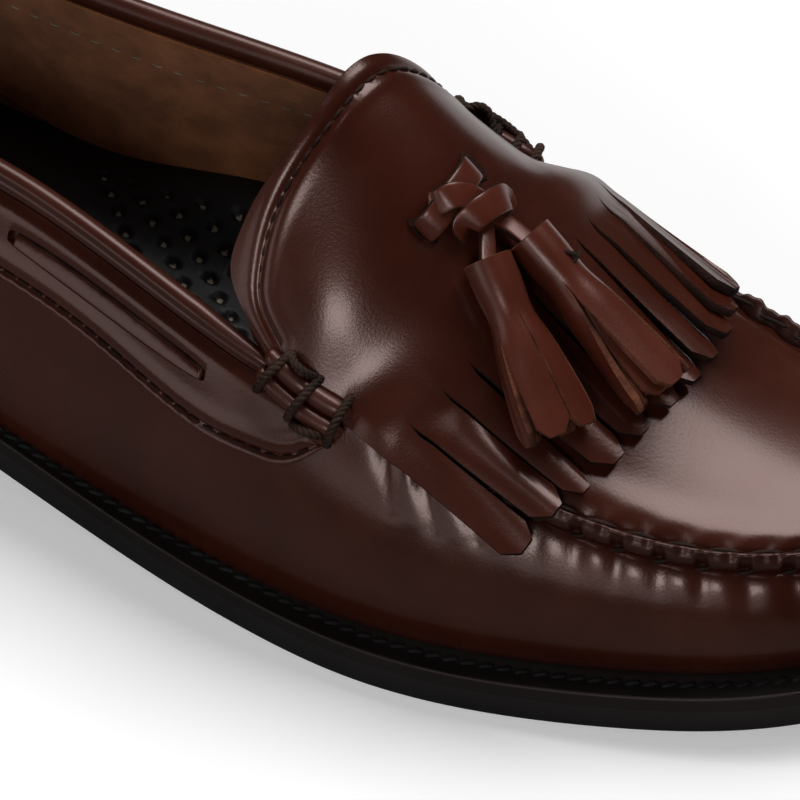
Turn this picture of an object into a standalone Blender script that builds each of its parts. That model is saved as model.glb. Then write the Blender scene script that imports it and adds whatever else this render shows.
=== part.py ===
"""A right tassel loafer with a kiltie fringe, standing empty on its sole.

Frame: metres, +Z up, toe toward +X, medial side toward +Y, origin on the floor below the middle of the
sole. The tables below are in millimetres, with x counted from the back of the heel.

Two parameters place everything. A ring parameter u runs once round the shoe, one unit for each row of
RING: 0 at the heel back, 8 at the toe tip, lateral side first. A row parameter p runs back over the apron
from 0 at the toe: its row crosses the shoe from ring point 8 - p to ring point 8 + p.
"""

import bmesh
import bpy
import numpy as np

MM = 0.001
GAP = 0.3

# Sole sizes
HEEL_HEIGHT = 20.4
HEEL_SEAT_END = 55.0
WAIST_END = 165.0
WAIST_POWER = 1.9
WAIST_EASE = 0.02
TREAD_END = 205.0
TOE_TIP = 300.0
TOE_SPRING = 7.5
OUTSOLE_THICK = 6.0
WELT_TOP = 9.3
WELT_STEP = 0.4
HEEL_BREAST = 72.0
EDGE_ROUND = 0.9
INSOLE_FRONT = 12.3
INSOLE_BACK = 16.5
INSOLE_FALL = (125.0, 195.0)
ARCH_RISE = 7.0
ARCH_FROM_Y = 4.0
ARCH_FULL_Y = 28.0
ARCH_X = (60.0, 115.0, 185.0)

# Upper sizes
WALL_THICK = 2.0
HANDLE = 0.38
LIP_HEIGHT = 3.2
LIP_UNDER_KILTIE = 1.6
LIP_SPREAD = 5.0
LIP_LEAN = 0.35
LIP_END_P = 3.45
LIP_FADE_P = 0.5
RING_STEPS = 80
RING_ROWS = 16
TOE_U = 8.0
THROAT_P = 3.6
TONGUE_END_P = 4.4

# Each row is a place on the sole's edge: its ledge from edge to upper, the top of the wall above it
# (the topline behind the rolls, the apron seam in front of them), and the wall's leaning at foot and top.
RING_COLUMNS = ("edge_x", "edge_y", "ledge", "top_x", "top_y", "top_z", "foot_lean", "top_lean")
EDGE = RING_COLUMNS[:2]
WALL_TOP = RING_COLUMNS[3:6]
RING = (
    ("heel back", 0, 0, 2.5, 8.5, 0, 77.5, 12, 14),
    ("heel lateral", 14, -26, 2.5, 19, -18.5, 75, 12, 16),
    ("breast lateral", 62, -36.3, 2.8, 61, -24, 67.5, 10, 22),
    ("waist lateral", 112, -42.5, 3.0, 110, -27, 63.8, 8, 28),
    ("joint lateral", 165, -52.6, 5.0, 161, -37.5, 55, 14, 32),
    ("ball lateral", 203, -54.6, 6.4, 200, -37, 46, 22, 46),
    ("small toe", 242, -45.2, 6.8, 237, -31.8, 37, 28, 54),
    ("toe lateral", 277, -28.2, 6.6, 266.5, -19, 33.8, 28, 58),
    ("toe tip", 300, 3, 6.4, 282.5, 3, 32.2, 28, 60),
    ("toe medial", 290, 31, 6.2, 273, 20, 32.6, 27, 54),
    ("big toe", 262, 45, 6.0, 249, 28.5, 33.8, 25, 50),
    ("ball medial", 215, 50, 5.4, 206, 33, 43.5, 22, 42),
    ("joint medial", 170, 42, 3.6, 160, 29.5, 58.8, 16, 24),
    ("waist medial", 115, 30, 2.6, 112, 23.3, 66.3, 14, 14),
    ("breast medial", 62, 32, 2.6, 61, 22.5, 70, 13, 15),
    ("heel medial", 14, 24, 2.5, 19, 17, 76, 12, 15),
)

# The crest of the instep: the middle of each row over the apron, back to the top of the tongue.
# pinch draws the row in beside the rolls, and sweep turns it, lateral side back and medial side on.
# (columns: row p, x, y, z, pinch, sweep)
CREST = (
    (0.0, 282.5, 3.0, 32.2, 0.0, 0.0),
    (1.0, 271.0, 2.0, 37.0, 0.0, 0.0),
    (2.0, 245.0, -0.5, 41.4, 0.0, 0.0),
    (3.0, 205.0, -0.5, 62.5, 0.08, 1.0),
    (3.6, 183.0, -0.5, 80.5, 0.18, 4.5),
    (4.4, 162.8, 0.5, 94.6, 0.06, 14.0),
)
# From the throat back, the tongue's side edges leave the topline and tuck inside it
TONGUE_TUCK_LATERAL = (-11.0, 4.6, 7.0)
TONGUE_TUCK_MEDIAL = (-15.0, -7.0, 8.0)

# Kiltie: its overhang beyond the apron seam, in millimetres, at rows from the tongue to the tips
KILTIE_THICK = 1.7
KILTIE_ROWS = 8
KILTIE_SLIT_P = 3.08
KILTIE_TIP_P = 2.38
KILTIE_TIP_SLANT = 0.12
KILTIE_TIP_POINT = 0.10
# (columns: row p, lateral, medial)
KILTIE_OVERHANG = (
    (2.38, 10.0, -1.0),
    (3.08, 4.0, -1.0),
    (3.40, -2.0, -2.4),
    (3.60, -1.8, -2.4),
    (4.40, 0.6, -0.8),
)
STRIPS = 11
STRIP_COLUMNS = 3
STRIP_ROWS = 5
SLIT_SHARE = 0.11
STRIP_LIFTS = (0.6, 1.4, 0.7, 1.2, 0.5, 0.9, 1.4, 0.8, 1.2, 1.6, 1.9)

# Collar strip, its windows and the thong in them, in the wall's own parameters
STRIP_THICK = 1.4
STRIP_FRONT_U = 4.6
STRIP_LOW_T = 0.735
STRIP_CURL_U = 4.1
STRIP_CURL_T = 0.14
STRIP_TOP_T = 0.985
WINDOW_U = 3.44
WINDOW_HALF_U = 0.47
WINDOW_T = 0.868
WINDOW_HALF_T = 0.062
THONG_THICK = 0.7

# Rolled topline and the bound rolls beside the instep
BINDING_WIDE = 4.4
BINDING_HIGH = 5.0
BINDING_FRONT_U = 4.1
BINDING_SIDES = 8
BINDING_STEPS = 57
BINDING_END_SIZE = 0.55
ROLL_FROM_U = 4.20
ROLL_TO_U = 4.64
ROLL_T = 0.99
ROLL_WIDE = 9.2
ROLL_HIGH = 4.4
ROLL_WRAPS = 3
ROLL_WRAP_SWELL = 0.09
ROLL_REST = 0.4
ROLL_STEPS = 19
ROLL_SIDES = 10

# Tassels and their knot, placed by row p and place v across the row (0 lateral, 1 medial)
TASSEL_HEAD_RADIUS = 4.8
TASSEL_HEAD_LENGTH = 13.0
TASSEL_SKIRT_WIDE = 7.8
TASSEL_SKIRT_HIGH = 5.0
TASSEL_STRIPS = 7
TASSEL_GROOVE = 0.22
TASSEL_NOTCH = 2.5
TASSEL_REST = 0.1
# (columns: name, head_p, head_v, tip_p, tip_v, tip_lift)
TASSELS = (
    ("tassel_near", 3.24, 0.37, 2.56, 0.25, 0.6),
    ("tassel_far", 3.20, 0.49, 2.36, 0.48, 0.5),
)
KNOT_SLOTS = ((3.43, 0.34), (3.44, 0.64))
KNOT_STEPS = 15
KNOT_RISE = 1.6
KNOT_SWELL = 0.75
THONG_WIDE = 4.5
THONG_DEEP = 1.6

LEATHER = ("burgundy_leather", (0.085, 0.022, 0.012, 1.0), 0.28)
LEATHER_EDGE = ("dark_binding", (0.060, 0.016, 0.010, 1.0), 0.30)
CORD = ("waxed_cord", (0.025, 0.010, 0.008, 1.0), 0.55)
BLACK_SOLE = ("black_sole", (0.010, 0.010, 0.011, 1.0), 0.45)
BLACK_WELT = ("black_welt", (0.014, 0.013, 0.013, 1.0), 0.50)
BLACK_SOCK = ("black_sock", (0.012, 0.011, 0.011, 1.0), 0.60)


# Curves and surfaces

def spline(knots, values, at):
    """Natural cubic through the rows of values: solves for the bends, then evaluates each piece."""
    knots = np.asarray(knots, float)
    values = np.asarray(values, float)
    step = np.diff(knots)
    system = np.eye(len(knots))
    right = np.zeros_like(values)
    for i in range(1, len(knots) - 1):
        system[i, i - 1:i + 2] = step[i - 1], 2 * (step[i - 1] + step[i]), step[i]
        slope_after = (values[i + 1] - values[i]) / step[i]
        slope_before = (values[i] - values[i - 1]) / step[i - 1]
        right[i] = 6 * (slope_after - slope_before)
    bend = np.linalg.solve(system, right)
    at = np.asarray(at, float)
    i = np.clip(np.searchsorted(knots, at, "right") - 1, 0, len(knots) - 2)
    wide = step[i][..., None]
    after = (at - knots[i])[..., None]
    before = wide - after
    curved = (bend[i] * before ** 3 + bend[i + 1] * after ** 3) / (6 * wide)
    straight = (values[i] / wide - bend[i] * wide / 6) * before
    return curved + straight + (values[i + 1] / wide - bend[i + 1] * wide / 6) * after


def table(rows):
    return np.array([[value for value in row if not isinstance(value, str)] for row in rows], float)


def ring(u, *names):
    """Named RING columns at any u: a closed spline, made by wrapping the table round at both ends."""
    wrap = 6
    rows = table(RING)[:, [RING_COLUMNS.index(name) for name in names]]
    knots = np.arange(-wrap, RING_ROWS + wrap)
    return spline(knots, rows[knots % RING_ROWS], np.mod(u, RING_ROWS))


def unit(vectors):
    return vectors / np.linalg.norm(vectors, axis=-1, keepdims=True)


def outward(u):
    """Level outward direction of the sole's edge: its tangent, turned a quarter."""
    along = unit(ring(np.asarray(u) + 0.02, *EDGE) - ring(np.asarray(u) - 0.02, *EDGE))
    return np.stack([along[..., 1], -along[..., 0], np.zeros(along.shape[:-1])], axis=-1)


def tread(x):
    """Height of the outsole's underside: heel seat, falling waist, flat tread, then the toe spring."""
    fall = (x - HEEL_SEAT_END) / (WAIST_END - HEEL_SEAT_END)
    waist = np.clip((fall + np.sqrt(fall ** 2 + WAIST_EASE)) / 2, 0, 1)
    spring = np.clip((x - TREAD_END) / (TOE_TIP - TREAD_END), 0, None)
    return HEEL_HEIGHT * (1 - waist) ** WAIST_POWER + TOE_SPRING * spring ** 2


def ease(share):
    share = np.clip(share, 0, 1)
    return share ** 2 * (3 - 2 * share)


def insole_top(x, y):
    """Height of the footbed: padded at heel and arch, thinner under the toes, risen at the medial arch."""
    fall = ease((x - INSOLE_FALL[0]) / (INSOLE_FALL[1] - INSOLE_FALL[0]))
    back, full, front = ARCH_X
    arch = ease((x - back) / (full - back)) * ease((front - x) / (front - full))
    rise = ARCH_RISE * arch * ease((y - ARCH_FROM_Y) / (ARCH_FULL_Y - ARCH_FROM_Y))
    return tread(x) + INSOLE_BACK + (INSOLE_FRONT - INSOLE_BACK) * fall + rise


def edge_loop(u, inset, height):
    """The sole's edge moved in by inset, at a height over the outsole's underside."""
    flat = ring(u, *EDGE) - np.asarray(inset)[..., None] * outward(u)[..., :2]
    return np.concatenate([flat, (tread(flat[..., :1]) + height)], axis=-1)


def wall(u, t):
    """Side wall of the upper: a cubic from the ledge (t 0) to the topline or seam (t 1)."""
    u, t = np.broadcast_arrays(np.asarray(u, float), np.asarray(t, float))
    out = outward(u)
    up = np.array([0.0, 0.0, 1.0])
    foot = edge_loop(u, ring(u, "ledge")[..., 0], WELT_TOP + GAP)
    top = ring(u, *WALL_TOP)
    handle = HANDLE * np.linalg.norm(top - foot, axis=-1, keepdims=True)
    foot_lean, top_lean = np.radians(ring(u, "foot_lean")), np.radians(ring(u, "top_lean"))
    low = foot + handle * (np.sin(foot_lean) * out + np.cos(foot_lean) * up)
    high = top + handle * (np.sin(top_lean) * out - np.cos(top_lean) * up)
    t = t[..., None]
    s = 1 - t
    return s ** 3 * foot + 3 * s ** 2 * t * low + 3 * s * t ** 2 * high + t ** 3 * top


def wall_normal(u, t):
    e = 0.01
    along = wall(u + e, t) - wall(u - e, t)
    rise = wall(u, np.minimum(t + e, 1)) - wall(u, np.minimum(t + e, 1) - 2 * e)
    return unit(np.cross(along, rise))


def instep(p, v):
    """Apron and tongue: a row from seam to seam, arched up to the crest.

    The arch is a parabola, mixed with a bell where pinch is set. Behind the throat the row's ends leave
    the topline by the tuck.
    """
    p, v = np.broadcast_arrays(np.asarray(p, float), np.asarray(v, float))
    on_seam = np.minimum(p, THROAT_P)
    past = np.clip((p - THROAT_P) / (TONGUE_END_P - THROAT_P), 0, None)[..., None]
    lateral = ring(TOE_U - on_seam, *WALL_TOP) + past * np.array(TONGUE_TUCK_LATERAL)
    medial = ring(TOE_U + on_seam, *WALL_TOP) + past * np.array(TONGUE_TUCK_MEDIAL)
    rows = table(CREST)
    crest = spline(rows[:, 0], rows[:, 1:], p)
    across = (2 * v - 1)[..., None]
    pinch, sweep = crest[..., 3:4], crest[..., 4:5]
    arch = (1 - pinch) * (1 - across ** 2) + pinch * (1 + np.cos(np.pi * across)) / 2
    point = lateral + (medial - lateral) * v[..., None]
    point = point + (crest[..., :3] - (lateral + medial) / 2) * arch
    point[..., :1] += sweep * across * (1 - across ** 8)
    return point


def instep_normal(p, v):
    e = 0.01
    inside = np.clip(v, e, 1 - e)
    across = instep(p, inside + e) - instep(p, inside - e)
    back = instep(p + e, v) - instep(p - e, v)
    return unit(np.cross(across, back))


def kiltie(p, w, lift):
    """Kiltie surface: the instep carried out over the seam, w 0 to 1 from edge to edge.

    lift is the height over the apron. Beyond the seam the row runs on straight, and over the seam it
    rises to clear the raised lip.
    """
    p, w, lift = np.broadcast_arrays(np.asarray(p, float), np.asarray(w, float), np.asarray(lift, float))
    rows = table(KILTIE_OVERHANG)
    overhang = spline(rows[:, 0], rows[:, 1:], p)
    width = np.linalg.norm(instep(p, np.ones_like(p)) - instep(p, np.zeros_like(p)), axis=-1)
    wide = 1 + overhang.sum(axis=-1) / width
    v = -overhang[..., 0] / width + w * wide
    on_apron = np.clip(v, 0, 1)
    e = 0.02
    inside = np.clip(on_apron, e, 1 - e)
    run = unit(instep(p, inside + e) - instep(p, inside - e))
    seam_distance = np.minimum(on_apron, 1 - on_apron) * width
    clear = LIP_UNDER_KILTIE * seam_fade(TOE_U - p) * np.exp(-(seam_distance / LIP_SPREAD) ** 2)
    rise = (2 * GAP + clear + lift)[..., None]
    return instep(p, on_apron) + rise * instep_normal(p, on_apron) + ((v - on_apron) * width)[..., None] * run


def seam_fade(u):
    """1 along the raised seam, falling to 0 just before the rolls."""
    from_toe = np.abs(np.mod(u, RING_ROWS) - TOE_U)
    return np.clip((LIP_END_P - from_toe) / LIP_FADE_P, 0, 1)


def lip_height(u):
    """The lip stands high where it shows, and lower under the kiltie."""
    from_toe = np.abs(np.mod(u, RING_ROWS) - TOE_U)
    shown = np.clip((KILTIE_TIP_P - 0.05 - from_toe) / 0.2, 0, 1)
    return seam_fade(u) * (LIP_UNDER_KILTIE + (LIP_HEIGHT - LIP_UNDER_KILTIE) * shown)


# Meshes

def grid_faces(index, closed=False):
    """Quads over a grid of vertex numbers; closed joins the last column to the first."""
    if closed:
        index = np.concatenate([index, index[:, :1]], axis=1)
    quads = np.stack([index[:-1, :-1], index[:-1, 1:], index[1:, 1:], index[1:, :-1]], axis=-1)
    return quads.reshape(-1, 4).tolist()


def weld(points, faces):
    """Gives points at one place one number, and drops the corners and faces that collapse."""
    _, first, same = np.unique(np.round(points, 4), axis=0, return_index=True, return_inverse=True)
    number = first[same.ravel()]
    welded = []
    for face in faces:
        corners = [int(number[c]) for c in face]
        corners = [c for i, c in enumerate(corners) if c != corners[i - 1]]
        if len(set(corners)) == len(corners) > 2:
            welded.append(corners)
    return welded


def thicken(outer, inner, faces):
    """Closes a sheet: its outer faces, the same faces turned over on inner, and a rim between them."""
    faces = weld(outer, faces)
    edges = {(a, b) for face in faces for a, b in zip(face, face[1:] + face[:1])}
    rim = [(a, b) for a, b in edges if (b, a) not in edges]
    count = len(outer)
    under = [[c + count for c in reversed(face)] for face in faces]
    sides = [[b, a, a + count, b + count] for a, b in sorted(rim)]
    return np.concatenate([outer, inner]), faces + under + sides


def vertex_normals(points, faces):
    """Each point's normal, from the areas of the faces round it."""
    total = np.zeros_like(points)
    for face in faces:
        corner = points[face]
        area = np.cross(corner[2] - corner[0], corner[-1] - corner[1])
        total[face] += area
    length = np.linalg.norm(total, axis=1, keepdims=True)
    return total / np.where(length > 0, length, 1)


def material(finish):
    name, colour, roughness = finish
    made = bpy.data.materials.get(name)
    if made is None:
        made = bpy.data.materials.new(name)
        made.use_nodes = True
        shader = made.node_tree.nodes["Principled BSDF"]
        shader.inputs["Base Color"].default_value = colour
        shader.inputs["Roughness"].default_value = roughness
        shader.inputs["Metallic"].default_value = 0.0
    return made


def centre():
    """Middle of the sole's outline, which becomes the origin."""
    outline = ring(np.linspace(0, RING_ROWS, 1600, endpoint=False), *EDGE)
    return (outline.min(axis=0) + outline.max(axis=0)) / 2


def solid(name, points, faces, finish):
    """One named object from points in millimetres, in the part's frame."""
    points = np.array(points, float)
    points[:, :2] -= centre()
    used = sorted({c for face in faces for c in face})
    number = {old: new for new, old in enumerate(used)}
    mesh = bpy.data.meshes.new(name)
    mesh.from_pydata((points[used] * MM).tolist(), [], [[number[c] for c in face] for face in faces])
    form = bmesh.new()
    form.from_mesh(mesh)
    bmesh.ops.triangulate(form, faces=form.faces, quad_method="SHORT_EDGE")
    bmesh.ops.recalc_face_normals(form, faces=form.faces)
    form.to_mesh(mesh)
    form.free()
    mesh.shade_smooth()
    mesh.set_sharp_from_angle(angle=np.radians(40))
    mesh.materials.append(material(finish))
    made = bpy.data.objects.new(name, mesh)
    bpy.context.scene.collection.objects.link(made)
    return made


def stacked(name, loops, under, over, finish, columns=4):
    """A plate: loops stacked from its underside to its top, capped by rows from side to side.

    under and over give the heights of the two caps for an x and y.
    """
    loops = np.array(loops)
    levels, count = loops.shape[:2]
    index = np.arange(levels * count).reshape(levels, count)
    faces = grid_faces(index, closed=True)
    points = [loops.reshape(-1, 3)]
    used = levels * count
    half = count // 2
    share = np.linspace(0, 1, columns + 1)
    for level, turn, height in ((0, -1, under), (levels - 1, 1, over)):
        lateral = loops[level][:half + 1]
        medial = loops[level][-np.arange(half + 1)]
        cap = lateral[:, None] + (medial - lateral)[:, None] * share[None, :, None]
        cap[..., 2] = height(cap[..., 0], cap[..., 1])
        cap_index = np.arange(used, used + cap[..., 0].size).reshape(cap.shape[:2])
        cap_index[:, 0] = index[level][:half + 1]
        cap_index[:, -1] = index[level][-np.arange(half + 1)]
        cap_index[0] = cap_index[0, 0]
        cap_index[-1] = cap_index[-1, 0]
        faces += grid_faces(cap_index[:, ::turn])
        points.append(cap.reshape(-1, 3))
        used += cap[..., 0].size
    points = np.concatenate(points)
    return solid(name, points, weld(points, faces), finish)


def tube(path, side, up, wide, high, sides, swell=None):
    """A bar of oval section along a path, closed at both ends: points and faces."""
    turn = np.linspace(0, 2 * np.pi, sides, endpoint=False)
    size = np.ones(len(path)) if swell is None else swell
    across = (np.cos(turn) * wide / 2)[None, :, None] * side[:, None] * size[:, None, None]
    over = (np.sin(turn) * high / 2)[None, :, None] * up[:, None] * size[:, None, None]
    points = (path[:, None] + across + over).reshape(-1, 3)
    index = np.arange(len(path) * sides).reshape(len(path), sides)
    ends = [index[0, ::-1].tolist(), index[-1].tolist()]
    return points, grid_faces(index, closed=True) + ends


# Pieces

def ring_points():
    return RING_ROWS * np.arange(RING_STEPS) / RING_STEPS


def build_sole():
    u = ring_points()
    round_in = np.full(RING_STEPS, EDGE_ROUND)
    full = np.zeros(RING_STEPS)
    stacked("outsole", [
        edge_loop(u, round_in, 0.0),
        edge_loop(u, full, EDGE_ROUND),
        edge_loop(u, full, OUTSOLE_THICK),
    ], lambda x, y: tread(x), lambda x, y: tread(x) + OUTSOLE_THICK, BLACK_SOLE)

    ledge = ring(u, "ledge")[:, 0]
    step = np.full(RING_STEPS, WELT_STEP)
    inner = ledge + WALL_THICK
    bottom = OUTSOLE_THICK + GAP
    loops = np.array([
        edge_loop(u, step, bottom),
        edge_loop(u, step, WELT_TOP),
        edge_loop(u, inner, WELT_TOP),
        edge_loop(u, inner, bottom),
    ])
    index = np.arange(4 * RING_STEPS).reshape(4, RING_STEPS)
    faces = grid_faces(np.concatenate([index, index[:1]]), closed=True)
    solid("welt", loops.reshape(-1, 3), faces, BLACK_WELT)

    sock = ledge + WALL_THICK + 2 * GAP
    rim = edge_loop(u, sock + EDGE_ROUND, 0.0)
    rim[:, 2] = insole_top(rim[:, 0], rim[:, 1])
    stacked("insole", [
        edge_loop(u, sock, bottom),
        edge_loop(u, sock, WELT_TOP + GAP),
        rim,
    ], lambda x, y: tread(x) + bottom, insole_top, BLACK_SOCK)


def build_heel():
    """Heel block: the sole's edge back of the breast, closed by the straight breast."""
    across = 6
    u = ring_points()[:RING_STEPS // 4]
    lateral = ring(u, *EDGE)
    medial = ring(RING_ROWS - u, *EDGE)
    keep = lateral[:, 0] < HEEL_BREAST
    corner_lateral = np.array([HEEL_BREAST, np.interp(HEEL_BREAST, lateral[:, 0], lateral[:, 1])])
    corner_medial = np.array([HEEL_BREAST, np.interp(HEEL_BREAST, medial[:, 0], medial[:, 1])])
    share = np.linspace(0, 1, across + 1)[:, None]
    breast = corner_lateral + (corner_medial - corner_lateral) * share
    back = medial[keep][1:][::-1]
    loop = np.concatenate([lateral[keep], breast, back])

    def level(inset, height):
        tangent = unit(np.roll(loop, -1, axis=0) - np.roll(loop, 1, axis=0))
        out = np.stack([tangent[:, 1], -tangent[:, 0]], axis=-1)
        flat = loop - inset * out
        return np.column_stack([flat, height(flat[:, 0], flat[:, 1])])

    def floor(x, y):
        return np.zeros_like(x)

    def rounded(x, y):
        return np.full_like(x, EDGE_ROUND)

    def seat(x, y):
        return tread(x) - GAP

    stacked("heel", [
        level(EDGE_ROUND, floor),
        level(WELT_STEP, rounded),
        level(WELT_STEP, seat),
    ], floor, seat, BLACK_SOLE)


def build_upper():
    """One hollow wall: side ring, apron and tongue, with the seam's lip raised on its outer face."""
    u = ring_points()
    t = np.array([0, 0.14, 0.30, 0.48, 0.66, 0.82, 0.93, 1.0])
    side = wall(u[None], t[:, None])
    columns = np.array([0, 0.05, 0.14, 0.26, 0.38, 0.5, 0.62, 0.74, 0.86, 0.95, 1.0])
    step = RING_ROWS / RING_STEPS
    seam_rows = int(round(THROAT_P / step)) + 1
    all_rows = int(round(TONGUE_END_P / step)) + 1
    p = step * np.arange(all_rows)
    apron = instep(p[:, None], columns[None])

    points = np.concatenate([side.reshape(-1, 3), apron.reshape(-1, 3)])
    side_index = np.arange(side[..., 0].size).reshape(side.shape[:2])
    apron_index = side_index.size + np.arange(apron[..., 0].size).reshape(apron.shape[:2])
    toe = RING_STEPS // 2
    places = np.arange(seam_rows)
    apron_index[:seam_rows, 0] = side_index[-1, toe - places]
    apron_index[:seam_rows, -1] = side_index[-1, toe + places]
    apron_index[0] = side_index[-1, toe]
    faces = grid_faces(side_index, closed=True) + grid_faces(apron_index)
    faces = weld(points, faces)
    normal = vertex_normals(points, faces)
    outer = points.copy()
    lip = side_index[-1]
    stand = unit(LIP_LEAN * outward(u) + np.array([0.0, 0.0, 1.0]))
    outer[lip] += lip_height(u)[:, None] * stand
    closed, closed_faces = thicken(outer, points - WALL_THICK * normal, faces)
    solid("upper", closed, closed_faces, LEATHER)


def build_kiltie():
    """The overlay: a body from the tongue's top to the slits, and a fan of strips in front of them."""
    columns = STRIPS * STRIP_COLUMNS
    w = np.linspace(0, 1, columns + 1)
    p = np.linspace(TONGUE_END_P, KILTIE_SLIT_P, KILTIE_ROWS)
    grids = {0.0: [], KILTIE_THICK: []}
    index = np.arange(p.size * w.size).reshape(p.size, w.size)
    faces = grid_faces(index[:, ::-1])
    for height, parts in grids.items():
        parts.append(kiltie(p[:, None], w[None], height).reshape(-1, 3))
    used = index.size

    part = np.linspace(-1, 1, STRIP_COLUMNS + 1)
    reach = np.linspace(0, 1, STRIP_ROWS + 1)[1:, None]
    for strip in range(STRIPS):
        first = strip * STRIP_COLUMNS
        middle = w[first:first + STRIP_COLUMNS + 1].mean()
        half = 0.5 / STRIPS
        narrow = 1 - SLIT_SHARE * reach
        point = KILTIE_TIP_POINT * np.clip((np.abs(part) - 0.3) / 0.7, 0, 1)
        tip = KILTIE_TIP_P + KILTIE_TIP_SLANT * middle + point
        strip_p = KILTIE_SLIT_P + (tip[None] - KILTIE_SLIT_P) * reach
        strip_w = middle + part[None] * half * narrow
        lift = STRIP_LIFTS[strip] * reach ** 2
        for height, parts in grids.items():
            parts.append(kiltie(strip_p, strip_w, lift + height).reshape(-1, 3))
        strip_index = used + np.arange(strip_p.size).reshape(strip_p.shape)
        root = index[-1:, first:first + STRIP_COLUMNS + 1]
        faces += grid_faces(np.concatenate([root, strip_index])[:, ::-1])
        used += strip_p.size
    under = np.concatenate(grids[0.0])
    over = np.concatenate(grids[KILTIE_THICK])
    points, closed_faces = thicken(over, under, faces)
    solid("kiltie", points, closed_faces, LEATHER)


def build_binding():
    """Rolled topline: an oval bar standing on the wall's top edge, from roll to roll round the heel."""
    u = np.linspace(RING_ROWS + BINDING_FRONT_U, RING_ROWS - BINDING_FRONT_U, BINDING_STEPS)
    out = outward(u)
    up = np.broadcast_to([0.0, 0.0, 1.0], out.shape)
    path = ring(u, *WALL_TOP) - out * WALL_THICK / 2 + up * (GAP + BINDING_HIGH / 2)
    from_end = np.minimum(np.arange(BINDING_STEPS), np.arange(BINDING_STEPS)[::-1])
    swell = BINDING_END_SIZE + (1 - BINDING_END_SIZE) * np.sqrt(np.clip(from_end / 2, 0, 1))
    path = path - up * ((1 - swell) * BINDING_HIGH / 2)[:, None]
    points, faces = tube(path, out, up, BINDING_WIDE, BINDING_HIGH, BINDING_SIDES, swell)
    solid("topline_binding", points, faces, LEATHER_EDGE)


def build_collar():
    """Collar strip: a step over the wall with a long window on each side, and the thong in each."""
    round_end = np.array([0.0, 0.02, 0.08, 0.2])
    window = WINDOW_U + WINDOW_HALF_U * np.concatenate([round_end - 1, [-0.4, 0, 0.4], 1 - round_end])
    behind = np.arange(0, WINDOW_U - WINDOW_HALF_U, RING_ROWS / RING_STEPS)
    front = np.array([0.25, 0.5, 0.75, 1.0]) * (STRIP_FRONT_U - WINDOW_U - WINDOW_HALF_U)
    half_ring = np.concatenate([behind, np.sort(window), front + WINDOW_U + WINDOW_HALF_U])
    u = np.concatenate([-half_ring[:0:-1], half_ring])
    from_heel = np.abs(u)
    inside = np.clip(1 - ((from_heel - WINDOW_U) / WINDOW_HALF_U) ** 2, 0, None)
    half = WINDOW_HALF_T * inside ** 0.3
    curl = np.clip((from_heel - STRIP_CURL_U) / (STRIP_FRONT_U - STRIP_CURL_U), 0, 1)
    low = STRIP_LOW_T + STRIP_CURL_T * curl ** 2
    top = np.full(u.size, STRIP_TOP_T)
    below, above = WINDOW_T - half, WINDOW_T + half
    t = np.stack([low, (low + below) / 2, below, above, top])
    places = np.broadcast_to(u, t.shape)
    base = wall(places, t)
    normal = wall_normal(places, t)
    index = np.arange(t.size).reshape(t.shape)
    faces = grid_faces(index[:3]) + grid_faces(index[3:])
    outer = (base + (GAP + STRIP_THICK) * normal).reshape(-1, 3)
    inner = (base + GAP * normal).reshape(-1, 3)
    points, closed_faces = thicken(outer, inner, faces)
    solid("collar_strip", points, closed_faces, LEATHER)

    for side, turn in (("lateral", 1), ("medial", -1)):
        u = turn * np.linspace(WINDOW_U - 0.8 * WINDOW_HALF_U, WINDOW_U + 0.8 * WINDOW_HALF_U, 13)
        t = WINDOW_T + 0.6 * WINDOW_HALF_T * np.array([-1.0, 0.0, 1.0])
        base = wall(u[None], t[:, None])
        normal = wall_normal(u[None], t[:, None])
        index = np.arange(base[..., 0].size).reshape(base.shape[:2])
        outer = (base + (GAP + THONG_THICK) * normal).reshape(-1, 3)
        inner = (base + GAP * normal).reshape(-1, 3)
        points, faces = thicken(outer, inner, grid_faces(index))
        solid("window_thong_" + side, points, faces, LEATHER_EDGE)


def build_rolls():
    """The two bound rolls: an oval bar on the wall's top edge, swelling under each wrap of cord."""
    for side, turn in (("lateral", 1), ("medial", -1)):
        u = turn * np.linspace(ROLL_FROM_U, ROLL_TO_U, ROLL_STEPS)
        share = np.linspace(0, 1, ROLL_STEPS)
        base = wall(u, np.full(ROLL_STEPS, ROLL_T))
        up = wall_normal(u, np.full(ROLL_STEPS, ROLL_T))
        across = np.cross(up, unit(np.gradient(base, axis=0)))
        wraps = 1 - ROLL_WRAP_SWELL * (1 + np.cos(2 * np.pi * ROLL_WRAPS * share))
        ends = np.sqrt(np.clip(1 - (2 * share - 1) ** 8, 0.2, 1))
        path = base + up * (2 * GAP + STRIP_THICK + ROLL_REST + ROLL_HIGH / 2)
        points, faces = tube(path, across, up, ROLL_WIDE, ROLL_HIGH, ROLL_SIDES, ends * wraps)
        solid("side_roll_" + side, points, faces, CORD)


def kiltie_place(p, v, height):
    """A point over the kiltie and the surface's normal there."""
    point = kiltie(p, v, KILTIE_THICK + height)
    normal = unit(kiltie(p, v, KILTIE_THICK + 10) - kiltie(p, v, KILTIE_THICK))
    return point, normal


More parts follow.
